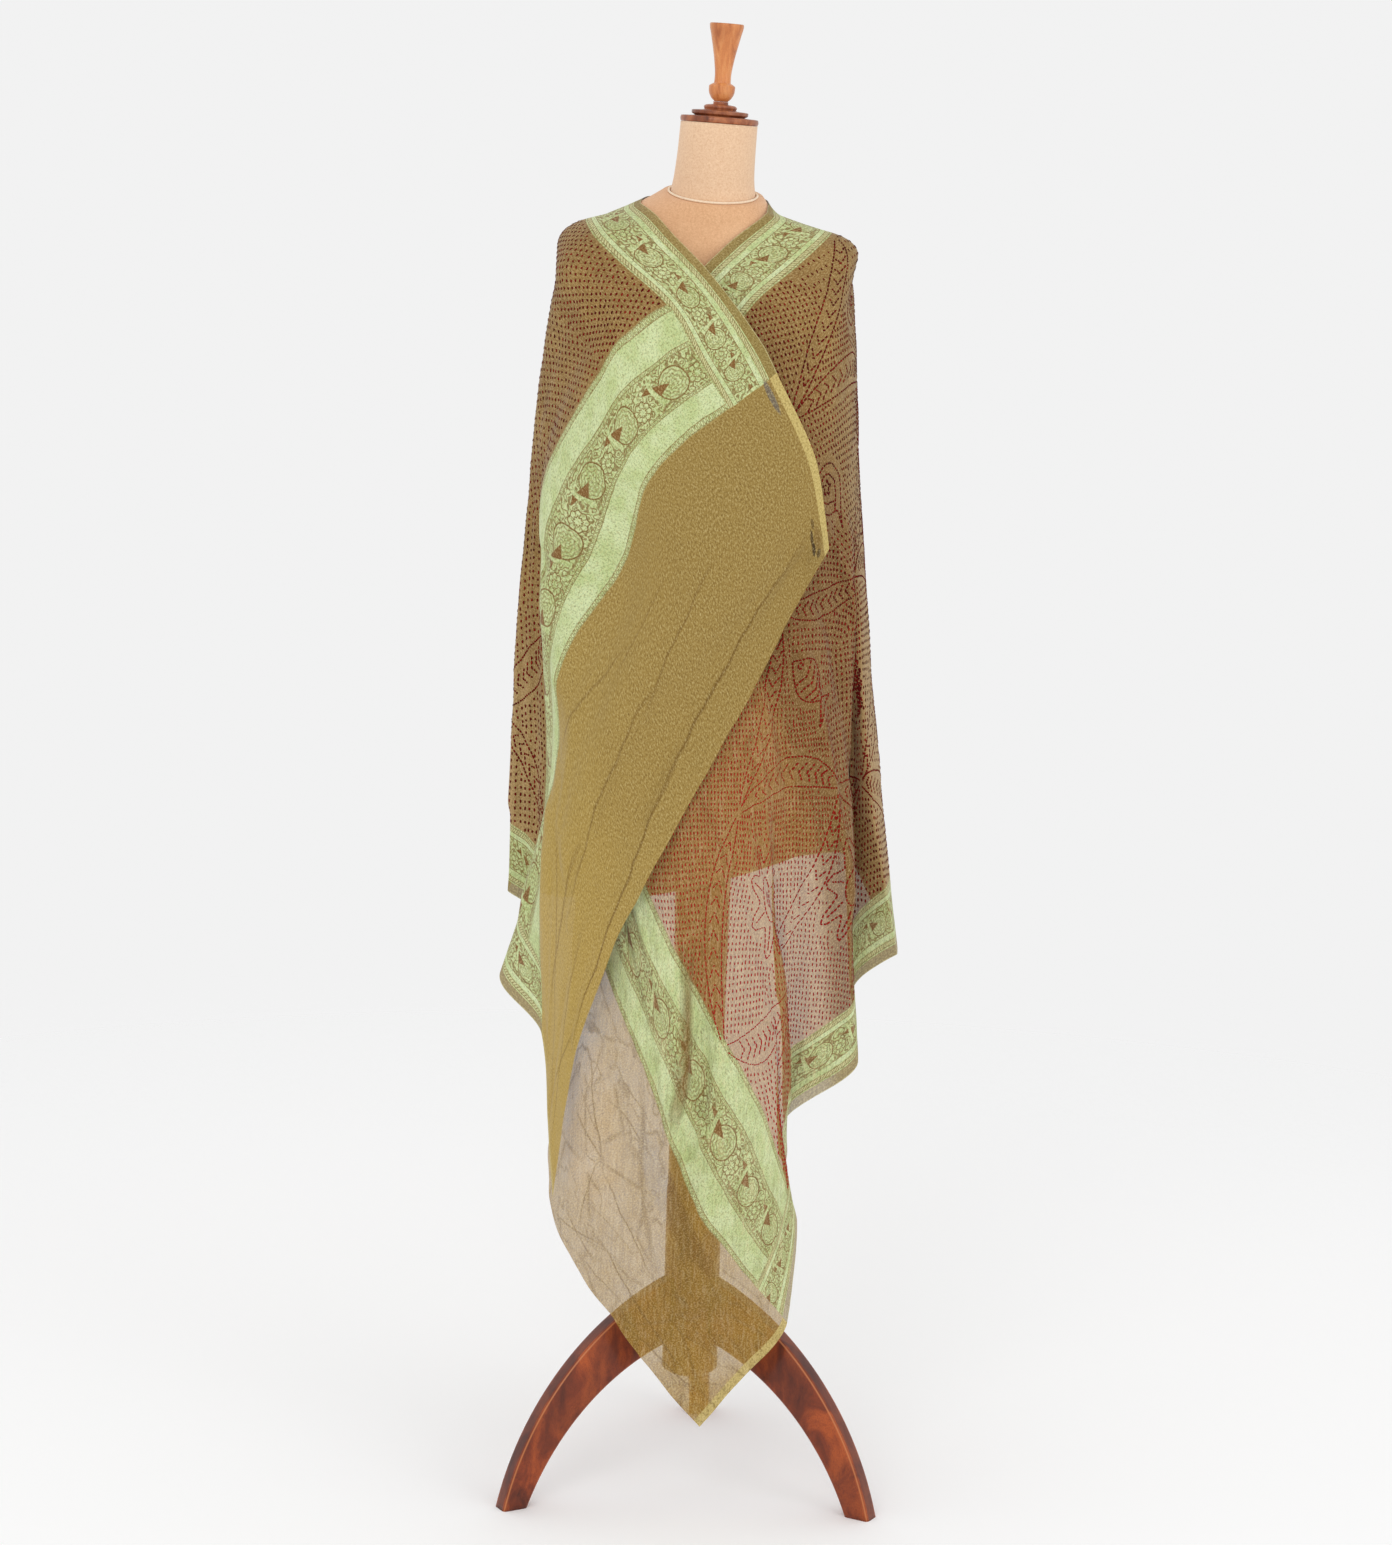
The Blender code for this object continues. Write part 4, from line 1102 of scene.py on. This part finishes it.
        # the crumpled end's net and veins of creases are painted shade
        net = facets.under(0.03, 0.04) * self.mottle.step(0.48, 0.10)
        veins = ripple.line(0.5, 0.012, 0.014) * self.mottle.under(0.50, 0.10)
        broken = (net * 0.50).most(veins * 0.55) * self.crumpled * (1 - self.woven)
        shade = self.creaseShading().most(broken)
        crinkle = self.cloud(self.placed((1, 1, weave["crinkleStretch"])), *clouds["crinkle"]) - 0.5
        crinkle = crinkle * 5.0 * self.along.step(dupatta["bandEnd"], 0.01)
        rough = (self.grain - 0.5) * 6.0
        colour = self.layered(self.colours(), (
            # painted shade in the creases
            (shade, dyesAndPaintedLight["creaseShade"]),
            # painted shade and painted highlight on the upright crinkles
            ((-crinkle).most(0) * (0.18 + self.lowPart * 0.08), dyesAndPaintedLight["crinkleShade"]),
            (crinkle.most(0) * (0.08 + self.lowPart * 0.15), dyesAndPaintedLight["crinkleHighlight"]),
            ((-rough).most(0) * 0.50, dyesAndPaintedLight["grainDark"]),
            (rough.most(0) * 0.34, dyesAndPaintedLight["grainPale"])))
        folded = (facets * 2.4 * self.crumpled + self.mottle * (0.35 + self.crumpled * 1.6)
                  + ripple * self.crumpled * 0.8)
        normal = self.bump(folded + self.grain * 0.22 + crinkle * 0.08, 0.005, 0.55)
        return self.put(Base_Color=colour, Alpha=self.sheerness(shade), Normal=normal)


# the red running stitches, laid out flat and then put on the hung cloth
kantha = {
    "seed": 7, "fieldAlong": (0.353, 1.567), "fieldAcross": (0.078, 0.822), "bareShoulder": (0.50, 0.45),
    "stitchRise": 0.0006, "lift": 0.0003, "turnReach": 0.001,
    "linePitch": 0.0048, "lineShare": 0.92, "lineWidth": 0.0026, "fineLineWidth": 0.0017, "fineFrom": 1.32,
    # the leaf-shaped bands, their knots' wander and their chevrons
    "cellAlong": 0.3035, "cellAcross": 0.248, "knotWander": 0.014,
    "leafShare": 0.72, "leafEnds": (0.03, 0.97),
    "leafHalfWidth": 0.0165, "leafWidths": (0.85, 1.15), "leafPoints": 25, "leafTip": 0.7,
    "leafBulge": 0.024, "leafBulges": (0.6, 1.3), "chevronPitch": 0.0135, "chevronReach": 0.008625,
    "chevronStart": 0.024, "chevronEnd": 0.020, "chevronLeast": 0.007, "chevronInset": 0.003,
    "motifSize": 0.052, "motifSizes": (0.85, 1.1), "motifTurn": 0.6, "motifReach": 0.09,
    # the patches of filling rows, how far these keep from bands and motifs, and the least step between two
    "patchSize": 0.13, "patchWander": 0.02, "patchTurn": 0.10, "patchRows": 60, "patchReach": 1.2,
    "fromBand": 0.0045, "fromMotif": 0.0085,
    "leastStep": 0.0026, "stepCell": 0.004,
    "steepAlong": (0.96, 1.14), "steepAcross": 0.42, "steepTurn": 0.35,
    # the hand's wander along and across in metres, in turn in radians and in length as a share
    "lineHand": (0.0002, 0.0002, 0.06, 0.08), "fillHand": (0.0003, 0.0004, 0.10, 0.14),
}
# how the filling stitches lie over each part of the field, counted along the cloth
Filling = namedtuple("Filling", "before rowPitch columnPitch length width")
fillings = (
    Filling(0.62, 0.0083, 0.0061, 0.0040, 0.0027),
    Filling(0.96, 0.0082, 0.0052, 0.0040, 0.0021),
    Filling(1.30, 0.0078, 0.0050, 0.0042, 0.0025),
    Filling(9.00, 0.0068, 0.0043, 0.0043, 0.0016),
)
Stitches = namedtuple("Stitches", "along across turn length width")


def closedCurve(radius, count=48, centre=(0, 0)):
    turns = np.linspace(0, 2 * pi, count + 1)
    size = np.array([radius(turn) for turn in turns])
    return np.stack([centre[0] + size * np.cos(turns), centre[1] + size * np.sin(turns)], axis=1)


def throughPoints(points, count=40):
    points = np.array(points, float)
    return smoothCurve(range(len(points)), points, np.linspace(0, len(points) - 1, count))


def lens(start, end, width, count=12):
    # a pointed leaf, as its two sides
    start = np.array(start, float)
    run = np.array(end, float) - start
    side = np.array([-run[1], run[0]])
    part = np.linspace(0, 1, count)[:, None]
    bulge = np.sin(part * pi) * width / np.linalg.norm(run)
    middle = start + run * part
    return [middle + side * bulge, (middle - side * bulge)[::-1]]


# the motifs, each as lines inside a circle of radius 1
def blossom():
    lines = [closedCurve(lambda turn: 0.78 + 0.2 * cos(8 * turn)), closedCurve(lambda turn: 0.36, 24),
             closedCurve(lambda turn: 0.12, 10)]
    for i in range(8):
        ray = np.array([cos(pi * i / 4), sin(pi * i / 4)])
        lines.append(np.array([ray * 0.44, ray * 0.84]))
    return lines


def paisley():
    outline = throughPoints([(0.34, 0.98), (0.06, 0.80), (-0.26, 0.50), (-0.52, 0.08), (-0.50, -0.42),
                             (-0.14, -0.80), (0.32, -0.76), (0.58, -0.36), (0.50, 0.08), (0.26, 0.38),
                             (0.12, 0.62), (0.34, 0.98)])
    inner = outline * 0.58 + np.array([0.02, -0.14])
    return [outline, inner, closedCurve(lambda turn: 0.13 + 0.05 * cos(5 * turn), 20, (0.02, -0.30))]


def leafSpray():
    stem = throughPoints([(-0.95, -0.45), (-0.45, -0.30), (0.05, 0.05), (0.5, 0.22), (0.95, 0.15)], 24)
    lines = [stem]
    for i in range(3, 23, 4):
        run = stem[min(i + 1, 23)] - stem[i - 1]
        for side in (0.95, -0.95):
            turn = atan2(run[1], run[0]) + side
            lines += lens(stem[i], stem[i] + 0.42 * np.array([cos(turn), sin(turn)]), 0.10)
    return lines


def fish():
    tail = [[(0.50, 0.02), (0.92, 0.34)], [(0.92, 0.34), (0.80, 0.0), (0.92, -0.34)],
            [(0.92, -0.34), (0.50, -0.02)]]
    lines = lens((-0.95, 0.0), (0.55, 0.0), 0.36, 20) + [np.array(line) for line in tail]
    lines.append(closedCurve(lambda turn: 0.06, 8, (-0.66, 0.06)))
    for x in (-0.42, -0.18, 0.06, 0.26):
        half = 0.30 * cos((x + 0.2) * 1.6)
        lines.append(np.array([(x - 0.05, half), (x + 0.09, 0.0), (x - 0.05, -half)]))
    return lines


def star():
    corners = np.arange(17)
    turns = corners * pi / 8
    reach = np.where(corners % 2 == 0, 0.92, 0.46)
    outline = np.stack([reach * np.cos(turns), reach * np.sin(turns)], axis=1)
    return [outline, closedCurve(lambda turn: 0.26, 16)]


motifKinds = (blossom, leafSpray, paisley, leafSpray, star, fish, blossom, paisley)


def byHand(stitches, hand, dice):
    # each stitch wanders a little from its even place; a length below zero stands for a length on the flat
    # cloth, which the drape then stretches
    wander = np.array([[dice.gauss(0, 1) for _ in range(4)] for _ in stitches.along])
    return Stitches(stitches.along + wander[:, 0] * hand[0], stitches.across + wander[:, 1] * hand[1],
                    stitches.turn + wander[:, 2] * hand[2], stitches.length * (1 + hand[3] * wander[:, 3]),
                    stitches.width)


def stitchLine(points, dice):
    # even stitches along a line of flat points
    lengths = runLengths(points)
    count = max(1, round(lengths[-1] / kantha["linePitch"]))
    at = (np.arange(count) + 0.5) * lengths[-1] / count
    along, across = (np.interp(at, lengths, points[:, k]) for k in (0, 1))
    reach = kantha["turnReach"]
    nextAlong, nextAcross = (np.interp(at + reach, lengths, points[:, k]) for k in (0, 1))
    lastAlong, lastAcross = (np.interp(at - reach, lengths, points[:, k]) for k in (0, 1))
    turn = np.arctan2(nextAcross - lastAcross, nextAlong - lastAlong)
    width = np.where(along < kantha["fineFrom"], kantha["lineWidth"], kantha["fineLineWidth"])
    length = np.full(count, -kantha["lineShare"] * kantha["linePitch"])
    return byHand(Stitches(along, across, turn, length, width), kantha["lineHand"], dice)


def onShoulder(spot):
    # the part of the field over the shoulder, which has no bands and no motifs
    return spot[0] < kantha["bareShoulder"][0] and spot[1] < kantha["bareShoulder"][1]


def leafBands(dice):
    # leaf-shaped bands between the knots of a loose ogee net over the field, and the centres of its cells
    low, high = kantha["fieldAlong"]
    left, right = kantha["fieldAcross"]
    columns = round((high - low) / kantha["cellAlong"] * 2)
    rows = round((right - left) / kantha["cellAcross"] * 2)
    places = {(i, j): np.array([low + (high - low) * i / columns, left + (right - left) * j / rows])
              for i in range(columns + 1) for j in range(rows + 1)}
    loose = kantha["knotWander"]
    knots = {}
    for (i, j), place in places.items():
        if (i + j) % 2 == 0:
            knots[i, j] = place + np.array([dice.uniform(-loose, loose), dice.uniform(-loose, loose)])
    bands = []
    for (i, j), start in knots.items():
        for step in (1, -1):
            end = knots.get((i + 1, j + step))
            if end is not None and not onShoulder(start) and dice.random() < kantha["leafShare"]:
                run = end - start
                side = np.array([-run[1], run[0]]) / np.linalg.norm(run)
                towards = step * (1 if i % 2 == 0 else -1)
                bulge = kantha["leafBulge"] * towards * dice.uniform(*kantha["leafBulges"])
                part = np.linspace(*kantha["leafEnds"], kantha["leafPoints"])[:, None]
                middle = start + run * part + side * np.sin(part * pi) * bulge
                width = kantha["leafHalfWidth"] * dice.uniform(*kantha["leafWidths"])
                bands.append((middle, width * np.sin(part[:, 0] * pi) ** kantha["leafTip"]))
    centres = [place for (i, j), place in places.items()
               if (i + j) % 2 == 1 and 0 < i < columns and 0 < j < rows]
    return bands, centres


def bandLines(middle, half, dice):
    # a band's two sides, and the chevrons inside them
    run = unit(np.gradient(middle, axis=0))
    side = np.stack([-run[:, 1], run[:, 0]], axis=1)
    lines = [middle + side * half[:, None], middle - side * half[:, None]]
    lengths = runLengths(middle)
    reach = kantha["chevronReach"]
    towards = dice.choice((1, -1))
    for at in np.arange(kantha["chevronStart"], lengths[-1] - kantha["chevronEnd"], kantha["chevronPitch"]):
        spot = np.array([np.interp(at, lengths, middle[:, k]) for k in (0, 1)])
        heading = np.array([np.interp(at, lengths, run[:, k]) for k in (0, 1)]) * towards
        width = np.interp(at, lengths, half)
        if width > kantha["chevronLeast"]:
            out = np.array([-heading[1], heading[0]]) * min(width - kantha["chevronInset"], reach)
            back = -heading * reach
            lines.append(np.array([spot + out + back, spot, spot - out + back]))
    return lines


def levelRuns(hung, centre):
    # the flat cloth's run that is level on the hung one, and the run that falls square to it there, both
    # one metre long once hung
    lengthwise, crosswise = hung.slopes(centre[:1], centre[1:])
    slopes = np.stack([lengthwise[0], crosswise[0]], axis=1)
    metric = slopes.T @ slopes
    level = np.array([-slopes[2, 1], slopes[2, 0]])
    fall = np.array([-(metric @ level)[1], (metric @ level)[0]])
    return level / sqrt(level @ metric @ level), fall / sqrt(fall @ metric @ fall), slopes[2]


def evenRows(hung, dice):
    # rows of short stitches, patch by patch over the field: along, across, turn, length and width of each
    low, high = kantha["fieldAlong"]
    left, right = kantha["fieldAcross"]
    size = kantha["patchSize"]
    loose = kantha["patchWander"]
    patches = []
    for i in range(round((high - low) / size)):
        for j in range(round((right - left) / size)):
            patches.append((low + (i + 0.5) * size + dice.uniform(-loose, loose),
                            left + (j + 0.5) * size + dice.uniform(-loose, loose),
                            dice.uniform(-kantha["patchTurn"], kantha["patchTurn"])))
    patches = np.array(patches)
    counts = np.arange(-kantha["patchRows"], kantha["patchRows"] + 1)
    i, j = (axis.reshape(-1, 1) for axis in np.meshgrid(counts, counts, indexing="ij"))
    steepFrom, steepTo = kantha["steepAlong"]
    rows = []
    for index, (along, across, turn) in enumerate(patches):
        filling = next(row for row in fillings if along < row.before)
        centre = np.array([along, across])
        level, fall, heights = levelRuns(hung, centre)
        if steepFrom < along < steepTo and across < kantha["steepAcross"]:
            turn += kantha["steepTurn"]
        level, fall = level * cos(turn) + fall * sin(turn), fall * cos(turn) - level * sin(turn)
        if heights @ fall > 0:
            fall = -fall
        spots = centre + i * filling.columnPitch * level + j * filling.rowPitch * fall
        spots = spots[np.abs(spots - centre).max(axis=1) < size * kantha["patchReach"]]
        nearest = np.linalg.norm(spots[:, None] - patches[None, :, :2], axis=2).argmin(axis=1)
        spots = spots[nearest == index]
        same = np.full((len(spots), 3), (atan2(fall[1], fall[0]), filling.length, filling.width))
        rows.append(np.column_stack([spots, same]))
    spots = np.concatenate(rows)
    return spots[(spots[:, 0] > low) & (spots[:, 0] < high) & (spots[:, 1] > left) & (spots[:, 1] < right)]


def outsideDrawing(spots, bands, drawn):
    # only those that lie clear of the bands and the motifs
    clear = np.ones(len(spots), bool)
    for middle, half in bands:
        away = np.linalg.norm(spots[:, None, :2] - middle[None], axis=2)
        clear &= (away > half[None] + kantha["fromBand"]).all(axis=1)
    for points in drawn:
        near = np.linalg.norm(spots[:, :2] - points.mean(axis=0), axis=1) < kantha["motifReach"]
        away = np.linalg.norm(spots[near, None, :2] - points[None], axis=2).min(axis=1)
        clear[near] &= away > kantha["fromMotif"]
    return spots[clear]


def notTwice(spots, hung):
    # none where an earlier one lies almost on top of it on the hung cloth
    places = hung.at(spots[:, 0], spots[:, 1])
    taken = {}
    free = []
    for index, place in enumerate(places):
        cell = tuple(int(value // kantha["stepCell"]) for value in place)
        around = [other for a in (-1, 0, 1) for b in (-1, 0, 1) for c in (-1, 0, 1)
                  for other in taken.get((cell[0] + a, cell[1] + b, cell[2] + c), ())]
        if all(np.abs(places[other] - place).max() > kantha["leastStep"] for other in around):
            taken.setdefault(cell, []).append(index)
            free.append(index)
    return spots[free]


def fillRows(hung, bands, drawn, dice):
    # rows of short stitches, level on the hanging cloth, round the bands and motifs
    spots = notTwice(outsideDrawing(evenRows(hung, dice), bands, drawn), hung)
    return byHand(Stitches(*spots.T), kantha["fillHand"], dice)


def threadNodes(name, thread):
    # geometry nodes that set the thread on every point and make it real
    tree = bpy.data.node_groups.new(name, "GeometryNodeTree")
    tree.interface.new_socket("Geometry", in_out="INPUT", socket_type="NodeSocketGeometry")
    tree.interface.new_socket("Geometry", in_out="OUTPUT", socket_type="NodeSocketGeometry")
    start = tree.nodes.new("NodeGroupInput")
    end = tree.nodes.new("NodeGroupOutput")
    place = tree.nodes.new("GeometryNodeInstanceOnPoints")
    real = tree.nodes.new("GeometryNodeRealizeInstances")
    shape = tree.nodes.new("GeometryNodeObjectInfo")
    shape.inputs["Object"].default_value = thread
    tree.links.new(start.outputs[0], place.inputs["Points"])
    tree.links.new(shape.outputs["Geometry"], place.inputs["Instance"])
    for attribute, socket in (("turn", "Rotation"), ("size", "Scale")):
        read = tree.nodes.new("GeometryNodeInputNamedAttribute")
        read.data_type = "FLOAT_VECTOR"
        read.inputs["Name"].default_value = attribute
        tree.links.new(read.outputs["Attribute"], place.inputs[socket])
    tree.links.new(place.outputs["Instances"], real.inputs["Geometry"])
    tree.links.new(real.outputs["Geometry"], end.inputs[0])
    return tree


def makeThread(name, material):
    # one stitch of unit size along x
    bm = bmesh.new()
    bmesh.ops.create_uvsphere(bm, u_segments=4, v_segments=3, radius=0.5)
    bmesh.ops.rotate(bm, verts=bm.verts, matrix=Matrix.Rotation(radians(90), 3, "Y"))
    bmesh.ops.recalc_face_normals(bm, faces=bm.faces)
    return addPiece(name, bm, material)


def stitchPoints(name, stitches, hung):
    # a point for each stitch in the hung cloth, with its turn, its size and its flat spot
    lengthwise, crosswise = hung.slopes(stitches.along, stitches.across)
    heading = lengthwise * np.cos(stitches.turn)[:, None] + crosswise * np.sin(stitches.turn)[:, None]
    stretch = np.linalg.norm(heading, axis=1)
    heading = unit(heading)
    facing = -hung.facingAt(stitches.along, stitches.across)  # the grid faces the body, the stitches outwards
    facing = unit(facing - heading * (facing * heading).sum(axis=1)[:, None])
    sideways = np.cross(facing, heading)
    lengths = np.where(stitches.length < 0, -stitches.length * stretch, stitches.length)
    zero = np.zeros(len(stretch))
    values = {
        "turn": (np.arctan2(sideways[:, 2], facing[:, 2]), -np.arcsin(np.clip(heading[:, 2], -1, 1)),
                 np.arctan2(heading[:, 1], heading[:, 0])),
        "size": (np.maximum(lengths, stitches.width), stitches.width, zero + kantha["stitchRise"]),
        "spot": (stitches.along, stitches.across, zero),
    }
    points = bpy.data.meshes.new(name)
    points.vertices.add(len(stretch))
    places = hung.at(stitches.along, stitches.across) + facing * kantha["lift"]
    points.vertices.foreach_set("co", places.ravel())
    for label, columns in values.items():
        layer = points.attributes.new(label, "FLOAT_VECTOR", "POINT")
        layer.data.foreach_set("vector", np.column_stack(columns).ravel())
    return points


def sew(name, stitches, hung, material):
    # one thread shape set on every stitch and made real
    thread = makeThread(name + "Thread", material)
    piece = bpy.data.objects.new(name, stitchPoints(name, stitches, hung))
    scene.collection.objects.link(piece)
    piece.modifiers.new("stitches", "NODES").node_group = threadNodes(name + "Nodes", thread)
    graph = bpy.context.evaluated_depsgraph_get()
    whole = bpy.data.meshes.new_from_object(piece.evaluated_get(graph))
    piece.modifiers.clear()
    piece.data = whole
    whole.name = name
    # each stitch's flat spot goes onto the UV map that the colours read
    flat = np.empty(len(whole.vertices) * 3)
    whole.attributes["spot"].data.foreach_get("vector", flat)
    corners = np.empty(len(whole.loops), int)
    whole.loops.foreach_get("vertex_index", corners)
    uvLayer = whole.uv_layers.get("flat") or whole.uv_layers.new(name="flat")
    uvLayer.data.foreach_set("uv", (flat.reshape(-1, 3)[corners, :2] / 2).ravel())
    for label in ("turn", "size", "spot"):
        if label in whole.attributes:
            whole.attributes.remove(whole.attributes[label])
    bpy.data.objects.remove(thread)
    whole.materials.clear()
    whole.materials.append(material)
    whole.shade_smooth()
    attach(piece, "root")
    print(name, len(stitches.along), "stitches", len(whole.polygons), "faces")
    return piece


threadDyesAndShade = {
    # the red is partly painted shade, for the shadow in each stitch's pit
    "red": (rgb(112, 20, 14), rgb(80, 12, 10)), "paler": rgb(158, 40, 26),
    "warm": rgb(170, 36, 20), "warmFrom": 1.22, "bright": rgb(184, 38, 34),
}


def threadFinish():
    # dark red over the doubled cloth, brighter where the cloth hangs single; the dark red is partly painted
    # shade, for the shadow in each stitch's pit, and paler flecks lie over it
    thread = Finish("redThread", Roughness=0.8, Specular_IOR_Level=0.1)
    flat = thread.flatMap()
    patches = thread.cloud(flat, 22, 3, 0.6)
    each = thread.cloud(flat, 320, 1, 0.5)
    along = thread.parts(flat)[0] * 2
    return thread.put(Base_Color=thread.layered(thread.blend(patches.step(0.52, 0.14), *threadDyesAndShade["red"]), (
        (each.step(0.58, 0.10) * 0.5, threadDyesAndShade["paler"]),
        (along.step(threadDyesAndShade["warmFrom"], 0.10) * 0.45, threadDyesAndShade["warm"]),
        (along.step(kantha["fineFrom"], 0.05) * 0.65, threadDyesAndShade["bright"]))))


def joined(groups):
    return Stitches(*(np.concatenate(columns) for columns in zip(*groups)))


def drawMotifs(centres, dice):
    # the stitches of the motifs, and for each motif the flat points that the filling keeps from
    motifs = []
    drawn = []
    for index, centre in enumerate(centres):
        if onShoulder(centre):
            continue
        size = kantha["motifSize"] * dice.uniform(*kantha["motifSizes"])
        turn = dice.uniform(-kantha["motifTurn"], kantha["motifTurn"]) + (pi / 2 if index % 2 else 0)
        spin = np.array([[cos(turn), sin(turn)], [-sin(turn), cos(turn)]])
        motif = joined([stitchLine(line @ spin * size + centre, dice)
                        for line in motifKinds[index % len(motifKinds)]()])
        motifs.append(motif)
        drawn.append(np.column_stack([motif.along, motif.across]))
    return joined(motifs), drawn


def makeEmbroidery(hung):
    dice = Random(kantha["seed"])
    thread = threadFinish()
    bands, centres = leafBands(dice)
    lines = [stitchLine(line, dice) for middle, half in bands for line in bandLines(middle, half, dice)]
    motifs, drawn = drawMotifs(centres, dice)
    fill = fillRows(hung, bands, drawn, dice)
    half = len(fill.along) // 2
    order = np.argsort(fill.along, kind="stable")
    rowsA, rowsB = (Stitches(*(column[part] for column in fill)) for part in (order[:half], order[half:]))
    pieces = [sew("kanthaRowsA", rowsA, hung, thread), sew("kanthaRowsB", rowsB, hung, thread),
              sew("kanthaLeaves", joined(lines), hung, thread), sew("kanthaMotifs", motifs, hung, thread)]
    print("embroidery made")
    return pieces


# the plain studio
studio = {"wall": 0.887, "floorSize": 6.0, "floorSides": 96, "floorFade": (1.2, 2.9)}
Lamp = namedtuple("Lamp", "place aim size power")
lamps = {
    "keyLight": Lamp((-1.0, -3.6, 3.0), (0, 0, 1.0), 2.2, 25.0),
    "fillLight": Lamp((2.6, -2.4, 2.0), (0, 0, 0.9), 2.0, 12.0),
}


def makeFloor():
    # a pale disc that fades out before its rim
    bm = bmesh.new()
    bmesh.ops.create_circle(bm, cap_ends=True, segments=studio["floorSides"], radius=studio["floorSize"] / 2)
    pale = Finish("paleFloor", Roughness=0.9, Specular_IOR_Level=0.1)
    away = pale.add("ShaderNodeVectorMath", {"operation": "LENGTH"}, {0: pale.placed()}, output="Value")
    low, high = studio["floorFade"]
    pale.put(Base_Color=rgb(254, 254, 254), Alpha=away.under((low + high) / 2, (high - low) / 2))
    addPiece("studioFloor", bm, pale.material, smooth=False)


def makeLamp(name, lamp):
    light = bpy.data.lights.new(name, "AREA")
    light.shape = "DISK"
    light.size = lamp.size
    light.energy = lamp.power
    holder = bpy.data.objects.new(name, light)
    scene.collection.objects.link(holder)
    turn = (Vector(lamp.aim) - Vector(lamp.place)).to_track_quat("-Z", "Y")
    holder.matrix_world = Matrix.Translation(lamp.place) @ turn.to_matrix().to_4x4()


def makeStudio():
    world = bpy.data.worlds.new("paleStudio")
    scene.world = world
    world.use_nodes = True
    back = world.node_tree.nodes["Background"]
    back.inputs["Color"].default_value = (studio["wall"], studio["wall"], studio["wall"], 1)
    back.inputs["Strength"].default_value = 1.0
    scene.view_settings.view_transform = "Standard"
    makeFloor()
    for name, lamp in lamps.items():
        makeLamp(name, lamp)
    print("studio made")


makeCamera()
torso = makeForm()
makeWood()
hungPoints = hangCloth(torso)
cloth = makeCloth(hungPoints)
extras = makeEmbroidery(Hung(hungPoints))
makeStudio()
print("scene made")
